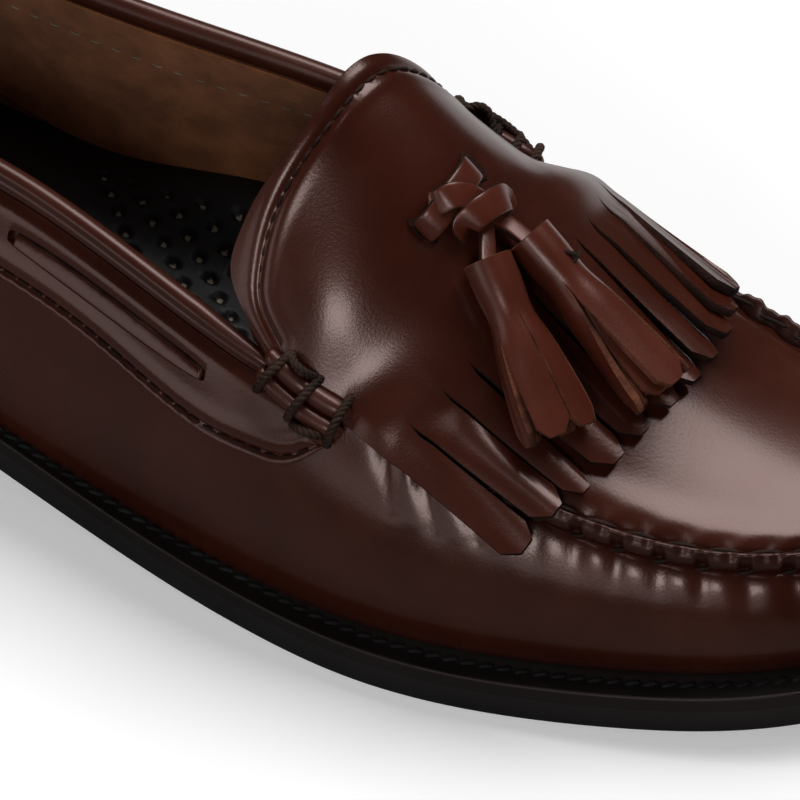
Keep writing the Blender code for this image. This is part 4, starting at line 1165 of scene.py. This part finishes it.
end = 1 - np.cos(np.linspace(0, np.pi / 2, 18))
window_u = WINDOW_U + WINDOW_HALF_U * np.concatenate([end - 1, np.linspace(-0.97, 0.97, 44), 1 - end])
window_u = np.unique(window_u.round(6))
half_u = np.concatenate([np.arange(0, window_u[0] - 0.02, 0.05), window_u,
                         np.linspace(window_u[-1], STRIP_FRONT, 18)[1:]])
strip_u = np.concatenate([-half_u[:0:-1], half_u])
room, low = window_room(strip_u), low_edge(strip_u)
half_open = WINDOW_HALF_T * room ** WINDOW_ROUND
below, above = WINDOW_T - half_open, WINDOW_T + half_open
strip_t = np.concatenate([low + (below - low) * np.linspace(0, 1, LOW_ROWS)[:, None],
                          above + (STRIP_TOP_T - above) * np.linspace(0, 1, TOP_ROWS)[:, None]])
base, normal = wall(strip_u[None], strip_t), wall_normal(strip_u[None], strip_t)
low_path = wall(strip_u, low)
from_low = np.linalg.norm(base - low_path[None], axis=-1)
from_top = np.linalg.norm(base - wall(strip_u, STRIP_TOP_T)[None], axis=-1)
in_top = np.arange(LOW_ROWS + TOP_ROWS)[:, None] >= LOW_ROWS
to_window = np.abs(strip_t - np.where(in_top, above, below)) * WALL_LONG
over_window = in_top * (room > 0.02)[None]
puff = 0.5 - 0.5 * np.cos(2 * np.pi * run_along(low_path) / STRIP_PITCH)
relief = 0.35 * bell(from_low - 4.2, 1.8) - 0.6 * bell(from_low - LINE_UP, 0.6)
relief += 0.14 * puff * bell(from_low - 0.6, 0.7)
relief -= 0.2 * over_window * bell(to_window, 0.6) + 1.25 * bell(from_top, 1.4)
outer = base + (GAP + STRIP_THICK + relief)[..., None] * normal
inner = base + 0.05 * normal
index = numbers(base)
shut = room < 1e-5
index[LOW_ROWS, shut] = index[LOW_ROWS - 1, shut]
used, quads = np.unique(np.concatenate([grid_quads(index[:LOW_ROWS]), grid_quads(index[LOW_ROWS:])]),
                        return_inverse=True)
collar = thick(outer.reshape(-1, 3)[used], inner.reshape(-1, 3)[used], quads.reshape(-1, 4), bulge=0.1)
# The strip's rim takes the darker seam leather, painted shade that keeps the rim from catching light.
COLLAR_FINISHES = ("burgundy_leather", "burgundy_leather", "shaded_seam_leather")
piece("collar_panel", collar, COLLAR_FINISHES, ["collar_strip"])

# %% [markdown]
# The strip's lower edge is sewn down, and in each window lies the lacing thong, a flat sheet with a frayed
# upper edge. Behind it lies a dark sheet of painted shade that darkens the window's gap. The fray is a
# smoothed row of random numbers with a fixed seed.

# %% Collar stitches and window thongs
LACE_STEPS, LACE_ROWS, FRAY_RUN, FRAY_SIZE = 150, 12, 5, 0.05 * WINDOW_HALF_T
SIDES = (("lateral", 1), ("medial", -1))
fine_u = np.linspace(-STRIP_FRONT + 0.05, STRIP_FRONT - 0.05, 3000)
fine_t = low_edge(fine_u) + LINE_UP_T
line, facing = off_wall(fine_u, fine_t, 1.25), wall_normal(fine_u, fine_t)
sewn = sewn_line(line, facing, STRIP_PITCH, 3.0, 0.34, **THREAD_BEND)
piece("collar_stitches", sewn, ["dark_thread"], sharp=80)

rng = np.random.default_rng(7)
share = np.linspace(0, 1, LACE_ROWS)[:, None]
for side_name, turn in SIDES:
    u = turn * (WINDOW_U + 0.93 * WINDOW_HALF_U * np.linspace(-1, 1, LACE_STEPS))
    noise = rng.standard_normal(LACE_STEPS + FRAY_RUN - 1)
    frayed = np.convolve(noise, np.ones(FRAY_RUN) / FRAY_RUN, "valid") * FRAY_SIZE
    half_open = WINDOW_HALF_T * window_room(u) ** WINDOW_ROUND
    low, high = WINDOW_T - 0.99 * half_open, WINDOW_T + 0.48 * half_open + frayed
    t = low + (high - low) * share
    crown = GAP + STRIP_THICK - 0.08 - 0.55 * share ** 2
    lace = sheet(off_wall(u[None], t, crown), off_wall(u[None], t, 0.1), bulge=0.4)
    # Dark sheet behind the thong: painted shade for the gap in the window.
    t = WINDOW_T + half_open * (2 * share - 1)
    shade_sheet = sheet(off_wall(u[None], t, 0.5), off_wall(u[None], t, 0.1), rows=2)
    kind = np.concatenate([np.minimum(lace[2], 1), np.full(len(shade_sheet[1]), 2)])
    piece("window_lace_" + side_name, (*join([lace[:2], shade_sheet[:2]]), kind),
          ("burgundy_leather", "frayed_lace_edge", "cut_leather_edge"),
          ["window_thong_" + side_name])

# %% [markdown]
# ## Lining
#
# The quarters are lined with brown suede, with one pale line of stitches below the topline. The lining is the
# wall again, moved in by the leather's thickness.

# %% Suede lining and its stitches
LINING_LINE_T = 0.80
grid_u, grid_t = np.meshgrid(np.linspace(-4.6, 4.6, 300), np.linspace(0.10, 0.985, 26))
lining = sheet(off_wall(grid_u, grid_t, -2.0), off_wall(grid_u, grid_t, -1.25), flip=True, rows=2)
piece("quarter_lining", lining[:2], ["suede_lining"])
fine_u = np.linspace(-4.0, 4.0, 3000)
line = off_wall(fine_u, LINING_LINE_T, -2.05)
sewn = sewn_line(line, -wall_normal(fine_u, LINING_LINE_T), 4.4, 2.3, 0.22, bow=0.15)
piece("lining_stitches", sewn, ["pale_thread"], sharp=80)

# %% [markdown]
# ## Bound rolls
#
# Beside the instep, wall and overlay are gathered over a core into two small leather rolls, bound with thick
# waxed cord: turns across the rolls and a slanting stitch between them, and on the medial side also two runs
# along the rolls. The cord is a rope of three strands wound round a path that arches over the rolls.

# %% Places on the rolls and the rope
ROLL_FROM, ROLL_TO, ROLL_T = 4.12, 4.58, 0.99
ROLL_CORES, ROLL_OVER, ROLL_HIGH = ((-1.9, 3.7), (1.9, 4.0)), 3.1, 3.8
ROLL_WAISTS = (0.13, 0.50, 0.91)
CORD_LOW = 1.6
CORD_TURNS = (
    (0.06, -5.2, 0.20, 5.0),
    (0.20, 5.0, 0.52, 4.6),
    (0.44, -5.0, 0.56, 4.8),
    (0.90, -5.0, 0.92, 4.6),
    (0.50, -5.2, 0.88, -3.4),
)
MEDIAL_TURNS = ((0.02, 3.2, 0.98, 2.2), (0.06, 0.4, 0.94, -0.6), (0.68, -5.0, 0.74, 4.8))


def roll_place(turn, share, across, over):
    """Point over the roll: share along it, across toward the overlay, over along the wall's normal."""
    u = turn * (ROLL_FROM + (ROLL_TO - ROLL_FROM) * share)
    up = wall_normal(u, ROLL_T)
    along = unit(wall(u + turn * 0.02, ROLL_T) - wall(u - turn * 0.02, ROLL_T))
    side = turn * np.cross(up, along)
    inward = across + 3.5 * (1 - share) ** 2 + (2.2 if turn < 0 else 0.0)
    return wall(u, ROLL_T) + inward[..., None] * side + np.asarray(over)[..., None] * up, side, up


def rope(path, up, radius=0.85, lay=3.4, strands=3):
    """Strands wound round a path: each strand's centre goes once round it in every lay length."""
    along = unit(np.gradient(path, axis=0))
    flat = unit(np.cross(up, along))
    over = np.cross(along, flat)
    run = run_along(path)
    parts = []
    for first in 2 * np.pi * np.arange(strands) / strands:
        turn = (2 * np.pi * run / lay + first)[:, None]
        spine = path + 0.52 * radius * (np.cos(turn) * flat + np.sin(turn) * over)
        ahead = unit(np.gradient(spine, axis=0))
        side = unit(np.cross(over, ahead))
        parts.append(bar(spine, side, np.cross(ahead, side), oval(1.1 * radius, 1.1 * radius, 8)))
    return join(parts)


# %% [markdown]
# Each side gets its two rolls, pinched a little where the cord goes over, and then every run of the cord as
# one rope. A run starts low beside the rolls, arches over them and ends low on the other side.

# %% Rolls bound with cord
share, step = np.linspace(0, 1, 60), np.linspace(0, 1, 90)
roll_size = np.sqrt(np.clip(1 - (2 * share - 1) ** 10, 0.1, 1))
roll_size *= 1 - 0.10 * sum(bell(share - at, 0.06) for at in ROLL_WAISTS)
for side_name, turn in SIDES:
    rolls = [bar(*roll_place(turn, share, across, ROLL_OVER), oval(size, ROLL_HIGH, 16), roll_size)
             for across, size in ROLL_CORES]
    piece("rolled_side_" + side_name, join(rolls), ["rolled_leather"],
          ["side_roll_" + side_name])
    cords = []
    for from_share, from_across, to_share, to_across in CORD_TURNS + (MEDIAL_TURNS if turn < 0 else ()):
        reach = 5.8 if from_across * to_across < 0 or turn < 0 else 4.8
        path, _, up = roll_place(turn, from_share + (to_share - from_share) * step,
                                 from_across + (to_across - from_across) * step,
                                 CORD_LOW + (reach - CORD_LOW) * np.sin(np.pi * step) ** 0.6)
        cords.append(rope(path, up))
    piece("roll_cord_" + side_name, join(cords), ["waxed_cord"], sharp=80)

# %% [markdown]
# ## Knot and tassels
#
# A flat thong goes from slot to slot over the overlay, with one band wrapped round it and a second band laid
# across, and from there two ends run to the tassels. A thong is a soft-cornered box carried along its path.
# Each route is a few points: row and place on the overlay, and the height over it.

# %% Thong knot
THONG_THICK, THONG_SIDES = 1.5, 20
KNOT_ROUTES = (
    (5.3, ((3.500, 0.560, -2.6), (3.498, 0.544, 0.9), (3.488, 0.490, 2.0), (3.483, 0.438, 2.3),
           (3.477, 0.366, 1.5), (3.484, 0.336, -2.6))),
    (5.0, ((3.475, 0.421, 0.6), (3.514, 0.404, 1.6), (3.510, 0.410, 3.2), (3.485, 0.436, 4.2),
           (3.421, 0.463, 3.6), (3.372, 0.477, 2.2))),
    (5.6, ((3.328, 0.510, 0.8), (3.318, 0.530, 2.0), (3.330, 0.526, 3.8), (3.363, 0.466, 5.1),
           (3.374, 0.424, 4.2), (3.368, 0.410, 2.4), (3.345, 0.414, 0.8))),
    (3.4, ((3.330, 0.474, 2.2), (3.300, 0.484, 2.4), (3.243, 0.500, 2.6), (3.150, 0.504, 4.2))),
    (3.0, ((3.330, 0.468, 2.0), (3.305, 0.455, 2.2), (3.268, 0.431, 2.6), (3.222, 0.392, 4.4))),
)
KNOT_STEPS = 48


def overlay_point(p, w, height):
    """Point over the overlay's top, the overlay's normal there and the toeward direction along it."""
    base = kiltie(p, w, KILTIE_THICK)
    up = unit(kiltie(p, w, KILTIE_THICK + 10.0) - base)
    forward = unit(kiltie(p - 0.02, w, KILTIE_THICK) - kiltie(p + 0.02, w, KILTIE_THICK))
    return base + np.asarray(height)[..., None] * up, up, forward


knot_parts, knot_kinds = [], []
for wide, route in KNOT_ROUTES:
    route = np.array(route)
    smooth = spline(np.arange(len(route), dtype=float), route, np.linspace(0, len(route) - 1, KNOT_STEPS))
    path, up, _ = overlay_point(*smooth.T)
    along = unit(np.gradient(path, axis=0))
    flat = unit(np.cross(up, along))
    profile = oval(wide, THONG_THICK, THONG_SIDES, 5.0)
    knot_parts.append(bar(path, flat, np.cross(along, flat), profile))
    across = np.abs(profile[:, 0] + np.roll(profile[:, 0], -1)) / 2
    rough = np.ones(len(knot_parts[-1][1]), int)
    rough[:THONG_SIDES * (KNOT_STEPS - 1)] = np.tile(across > 0.47 * wide, KNOT_STEPS - 1)
    knot_kinds.append(rough)
knot = *join(knot_parts), np.concatenate(knot_kinds)
piece("thong_knot", knot, ("tassel_leather", "cut_leather_edge"), ["lace_knot"], sharp=45)

# %% [markdown]
# Where the thong goes through, the overlay has a short slot with a rough raised lip. The lip is a bar round
# an oval, and a shallow dark bowl inside it is painted shade standing for the opening.

# %% Slots of the thong
SLOT_LONG, SLOT_LIP, SLOT_SUNK = 3.1, 0.6, 0.35
turn = np.linspace(0, 2 * np.pi, 49)
wavy = 1 + 0.05 * np.sin(7 * turn)
share = np.linspace(0.02, 1, 9)[:, None, None]
slot_parts = []
for p, w, slot_wide in SLOTS:
    centre, up, forward = overlay_point(p, w, -SLOT_SUNK)
    spokes = ((SLOT_LONG * np.cos(turn) * wavy)[:, None] * forward
              + (slot_wide * np.sin(turn) * wavy)[:, None] * np.cross(up, forward))
    lip = oval(SLOT_LIP, SLOT_LIP, 10)
    slot_parts.append(bar(centre + spokes, unit(spokes), np.broadcast_to(up, spokes.shape), lip))
    # The dark bowl is painted shade for the slot's opening.
    shade_bowl = centre + spokes * share + up * (0.18 * (share ** 2 - 1) + 0.25)
    slot_parts.append(sheet(shade_bowl, shade_bowl - 0.5 * up, rows=2)[:2])
piece("thong_slots", join(slot_parts), ["cut_leather_edge"], sharp=60)

# %% [markdown]
# A tassel is one fringed piece of leather, rolled up: the head is a tube, and below it the same leather is
# cut into strips that open like a skirt. Each strip starts on the head's circle and flattens toward its tip,
# while its middle moves out along a widening oval. Angles are in degrees round the tassel's axis.

# %% Tassel skirt
HEAD_RADIUS = 4.6
HEAD_LENGTH = 9.5
HEAD_ROWS, SKIRT_ROWS, SKIRT_COLUMNS = 16, 36, 12
SKIRT_SHARE = np.linspace(0, 1, SKIRT_COLUMNS + 1)


def skirt_oval(s, radius, length, wide_end, high_end):
    """Half axes of the roll at depth s: a circle in the head, a slight waist, then an oval that widens."""
    opened = ease((s - HEAD_LENGTH) / (length - HEAD_LENGTH)) ** 0.8
    waist = 1 - 0.09 * bell(s - HEAD_LENGTH - 1.5, 4.0)
    wide, high = (radius + (end - radius) * opened for end in (wide_end, high_end))
    return wide * waist, high * waist, opened


def skirt(cuts, tips, radius, length, wide_end, high_end):
    """Rolled leather cut into strips: head rows shared by all, then each strip turns to its own tip."""
    s = np.linspace(0, HEAD_LENGTH, HEAD_ROWS)[:, None]
    a, b, _ = skirt_oval(s, radius, length, wide_end, high_end)
    turn = np.radians(divided(cuts, SKIRT_SHARE))[None]
    head = np.stack(np.broadcast_arrays(a * np.cos(turn), b * np.sin(turn), s), axis=-1)
    index = numbers(head)
    parts, quads, used = [head.reshape(-1, 3)], [grid_quads(index)], index.size
    reach = np.linspace(0, 1, SKIRT_ROWS + 1)[1:, None]
    s = HEAD_LENGTH + (length - HEAD_LENGTH) * reach
    a, b, opened = skirt_oval(s, radius, length, wide_end, high_end)
    narrowed = np.minimum(radius / np.sqrt(a * b), 1) * (1 - 0.05 * ease(reach * 8))
    x = SKIRT_SHARE[None] - 0.5
    curl = 1 + 0.05 * (2 * x) ** 4 * ease(opened * 3)
    cut_off = 2.4 * np.clip((np.abs(x) - 0.24) / 0.26, 0, 1) * reach ** 5
    for strip, tip in enumerate(tips):
        middle, span = (cuts[strip] + cuts[strip + 1]) / 2, cuts[strip + 1] - cuts[strip]
        turn = np.radians(middle + (tip - middle) * opened + x * span * narrowed)
        grid = np.stack([a * curl * np.cos(turn), b * curl * np.sin(turn), s - cut_off], axis=-1)
        number = numbers(grid, used)
        root = index[-1:, strip * SKIRT_COLUMNS:(strip + 1) * SKIRT_COLUMNS + 1]
        parts.append(grid.reshape(-1, 3))
        quads.append(grid_quads(np.concatenate([root, number])))
        used += number.size
    return np.concatenate(parts), np.concatenate(quads)


# %% [markdown]
# Each tassel has three layers of the same leather, one inside the other. The table gives where its head and
# tips lie on the overlay, and the cuts and tips of its outer layer. The far one has a small stitch on its
# head.

# %% Roll the tassels
LEATHER_SHEET = 1.5
LAYER_GAP = LEATHER_SHEET + 0.15
WIDE_END, HIGH_END = 7.4, 4.4
TASSELS = (
    ("tassel_near", (3.230, 0.393), (2.562, 0.261),
     (-100, -35, 25, 90, 157, 208, 260), (-66, -5, 52, 108, 172, 226)),
    ("tassel_far", (3.169, 0.506), (2.351, 0.475),
     (-100, -40, 8, 62, 136, 204, 260), (-68, -18, 24, 82, 190, 236)),
)
INNER_LAYERS = (
    ((-110, -20, 70, 160, 250), (-66, 24, 108, 206), LAYER_GAP, 0.985),
    ((-60, 60, 180, 300), (0, 120, 240), 1.9 * LAYER_GAP, 0.96),
)
TASSEL_FINISHES = ("tassel_leather", "tassel_cut_edge", "tassel_cut_edge")
STITCH_TURN, STITCH_DOWN = np.radians((74, 66))[:, None], np.array((7.6, 8.6))[:, None]
for name, head_at, tip_at, cuts, tips in TASSELS:
    head, up, _ = overlay_point(*head_at, GAP + HEAD_RADIUS)
    tip, _, _ = overlay_point(*tip_at, GAP + HIGH_END + 0.3)
    length = np.linalg.norm(tip - head)
    axis = (tip - head) / length
    side = unit(np.cross(up, axis))
    over = np.cross(axis, side)
    solids, kinds = [], []
    for layer_cuts, layer_tips, sunk, long in ((cuts, tips, 0.0, 1.0),) + INNER_LAYERS:
        grid, cells = skirt(np.array(layer_cuts, float), layer_tips, HEAD_RADIUS - sunk, length * long,
                            WIDE_END - sunk, HIGH_END - sunk)
        flat = head + grid @ np.array((side, over, axis))
        facing = normals(flat, cells)
        from_axis = flat - head - ((flat - head) @ axis)[:, None] * axis
        turned = int(np.sign((from_axis * facing).sum()))
        inner = flat - LEATHER_SHEET * turned * facing
        *solid, kind = thick(flat, inner, cells[:, ::turned], bulge=0.2, rows=3)
        solids.append(solid)
        kinds.append(kind)
    rolled = *join(solids), np.concatenate(kinds)
    piece(name + "_leather", rolled, TASSEL_FINISHES, [name], sharp=45)
    if name == "tassel_far":
        out = np.cos(STITCH_TURN) * side + np.sin(STITCH_TURN) * over
        lean = unit(np.array((axis + 0.5 * side, side - 0.3 * axis)))
        pin = stitches(head + (HEAD_RADIUS + 0.15) * out + axis * STITCH_DOWN, lean, out, 3.0, 0.45)
        piece("tassel_far_stitch", pin, ["dark_thread"], sharp=80)

# %% [markdown]
# ## Stage and light
#
# The photo is a close view on white. The floor is white to the camera. In the leather's reflections its near
# half is dark and its far half pale, as where a studio floor runs up into a lit backdrop.

# %% Floor
FLOOR_GLOW = 0.33
FLOOR_TURN = (0.0, 0.16)
FLOOR_REACH = 4


def by_ray(tree, unseen, seen, output):
    """Shows one shader to the camera and another to all other rays."""
    mixed = tree.nodes.new("ShaderNodeMixShader")
    tree.links.new(tree.nodes.new("ShaderNodeLightPath").outputs["Is Camera Ray"], mixed.inputs["Fac"])
    tree.links.new(unseen.outputs[0], mixed.inputs[1])
    tree.links.new(seen.outputs[0], mixed.inputs[2])
    tree.links.new(mixed.outputs["Shader"], tree.nodes[output].inputs["Surface"])


def floor_material():
    """Pale floor: white to the camera; other rays meet a dark near half and a pale far half."""
    made, tree, seen = start_material("white_floor")
    group = node_of(tree, "ShaderNodeGroup", node_tree=NAP, Fibres=60.0, Patches=4.0)
    tree.links.new(tint(tree, group.outputs["Patch"], (0.86, 0.86, 0.86), (0.88, 0.88, 0.88), 0.3, 0.7),
                   seen.inputs["Base Color"])
    fill(seen, Emission_Color=(1, 1, 1, 1), Emission_Strength=FLOOR_GLOW)
    unseen = tree.nodes.new("ShaderNodeBsdfPrincipled")
    where = tree.nodes.new("ShaderNodeSeparateXYZ")
    tree.links.new(tree.nodes.new("ShaderNodeTexCoord").outputs["Object"], where.inputs["Vector"])
    back = node_of(tree, "ShaderNodeMapRange", From_Min=FLOOR_TURN[0], From_Max=FLOOR_TURN[1])
    tree.links.new(where.outputs["Y"], back.inputs["Value"])
    tree.links.new(tint(tree, back.outputs["Result"], (0.24, 0.23, 0.22), (0.86, 0.85, 0.84), 0.0, 1.0),
                   unseen.inputs["Base Color"])
    for shader in (seen, unseen):
        fill(shader, Roughness=0.9, Specular_IOR_Level=0.1)
    by_ray(tree, unseen, seen, "Material Output")
    return made


floor_mesh = bpy.data.meshes.new("floor")
corners = [(x * FLOOR_REACH, y * FLOOR_REACH, 0) for x, y in ((-1, -1), (1, -1), (1, 1), (-1, 1))]
floor_mesh.from_pydata(corners, [], [(0, 1, 2, 3)])
floor_mesh.materials.append(floor_material())
floor = bpy.data.objects.new("floor", floor_mesh)
bpy.context.scene.collection.objects.link(floor)
print("floor:", 2 * FLOOR_REACH, "m wide")

# %% [markdown]
# One large soft light stands above and behind the shoe, as a studio window would. Four small ones in front
# set the highlights of the wall, seam and saddle. Each row gives a light's place, size and power, and all of
# them point at the middle of the shoe.

# %% Lights and surroundings
AIM = np.array((0.0, 0.0, 0.05))
LIGHTS = (
    ("far_light", (0.05, 0.59, 1.27), 1.2, 0.65, 16.0),
    ("front_light", (0.40, -1.12, 0.75), 0.36, 0.30, 3.2),
    ("near_light", (0.19, -1.33, 0.42), 1.3, 0.26, 1.2),
    ("left_light", (-0.72, -1.10, 0.48), 0.6, 0.7, 1.8),
    ("top_light", (0.16, -0.36, 1.36), 0.22, 0.22, 0.30),
)


def aimed(name, data, right, above, back, place):
    """An object at a place with its three axes given; it looks along minus back."""
    made = bpy.data.objects.new(name, data)
    matrix = np.eye(4)
    matrix[:3, :3] = np.stack([right, above, back], axis=1)
    matrix[:3, 3] = place
    made.matrix_world = matrix.T.tolist()
    bpy.context.scene.collection.objects.link(made)
    return made


for name, place, wide, tall, power in LIGHTS:
    lamp = bpy.data.lights.new(name, "AREA")
    lamp.shape = "RECTANGLE"
    lamp.size, lamp.size_y, lamp.energy = wide, tall, power
    back = unit(np.array(place) - AIM)
    right = unit(np.cross(UP, back))
    aimed(name, lamp, right, np.cross(back, right), back, place)
world = bpy.data.worlds.new("studio")
world.use_nodes = True
dim, pale = world.node_tree.nodes["Background"], world.node_tree.nodes.new("ShaderNodeBackground")
for shader, strength in ((dim, 0.03), (pale, 0.9)):
    fill(shader, Color=(1, 1, 1, 1), Strength=strength)
by_ray(world.node_tree, dim, pale, "World Output")
bpy.context.scene.world = world
bpy.context.scene.view_settings.view_transform = "Standard"
print("lights:", len(LIGHTS))

# %% [markdown]
# ## Camera
#
# The camera is the one fitted to the sole's outline, topline and fringe, so its place is given by two angles,
# a small roll, a distance and the point that it looks at. The lens follows from the fitted focal length in
# pixels of an 800 pixel picture.

# %% Camera
AZIMUTH, ELEVATION, ROLL = np.radians((27.53, 46.0, -0.588))
DISTANCE = 1200.0
TARGET = np.array((181.408, -12.708, 30.0))
FOCAL_PIXELS = 6449.0
PICTURE = 800.0
SENSOR = 36.0
level = np.cos(ELEVATION)
back = np.array((np.sin(AZIMUTH) * level, -np.cos(AZIMUTH) * level, np.sin(ELEVATION)))
right = np.array((np.cos(AZIMUTH), np.sin(AZIMUTH), 0.0))
above = np.cross(back, right)
right, above = (right * np.cos(ROLL) + above * np.sin(ROLL), above * np.cos(ROLL) - right * np.sin(ROLL))
lens = bpy.data.cameras.new("photo_camera")
lens.sensor_width = SENSOR
lens.lens = SENSOR * FOCAL_PIXELS / PICTURE
lens.clip_start, lens.clip_end = 0.01, 20.0
place = (TARGET - np.array((*CENTRE, 0.0)) + DISTANCE * back) * MM
bpy.context.scene.camera = aimed("photo_camera", lens, right, above, back, place)
print("camera at", place.round(3), "lens", round(lens.lens, 1))
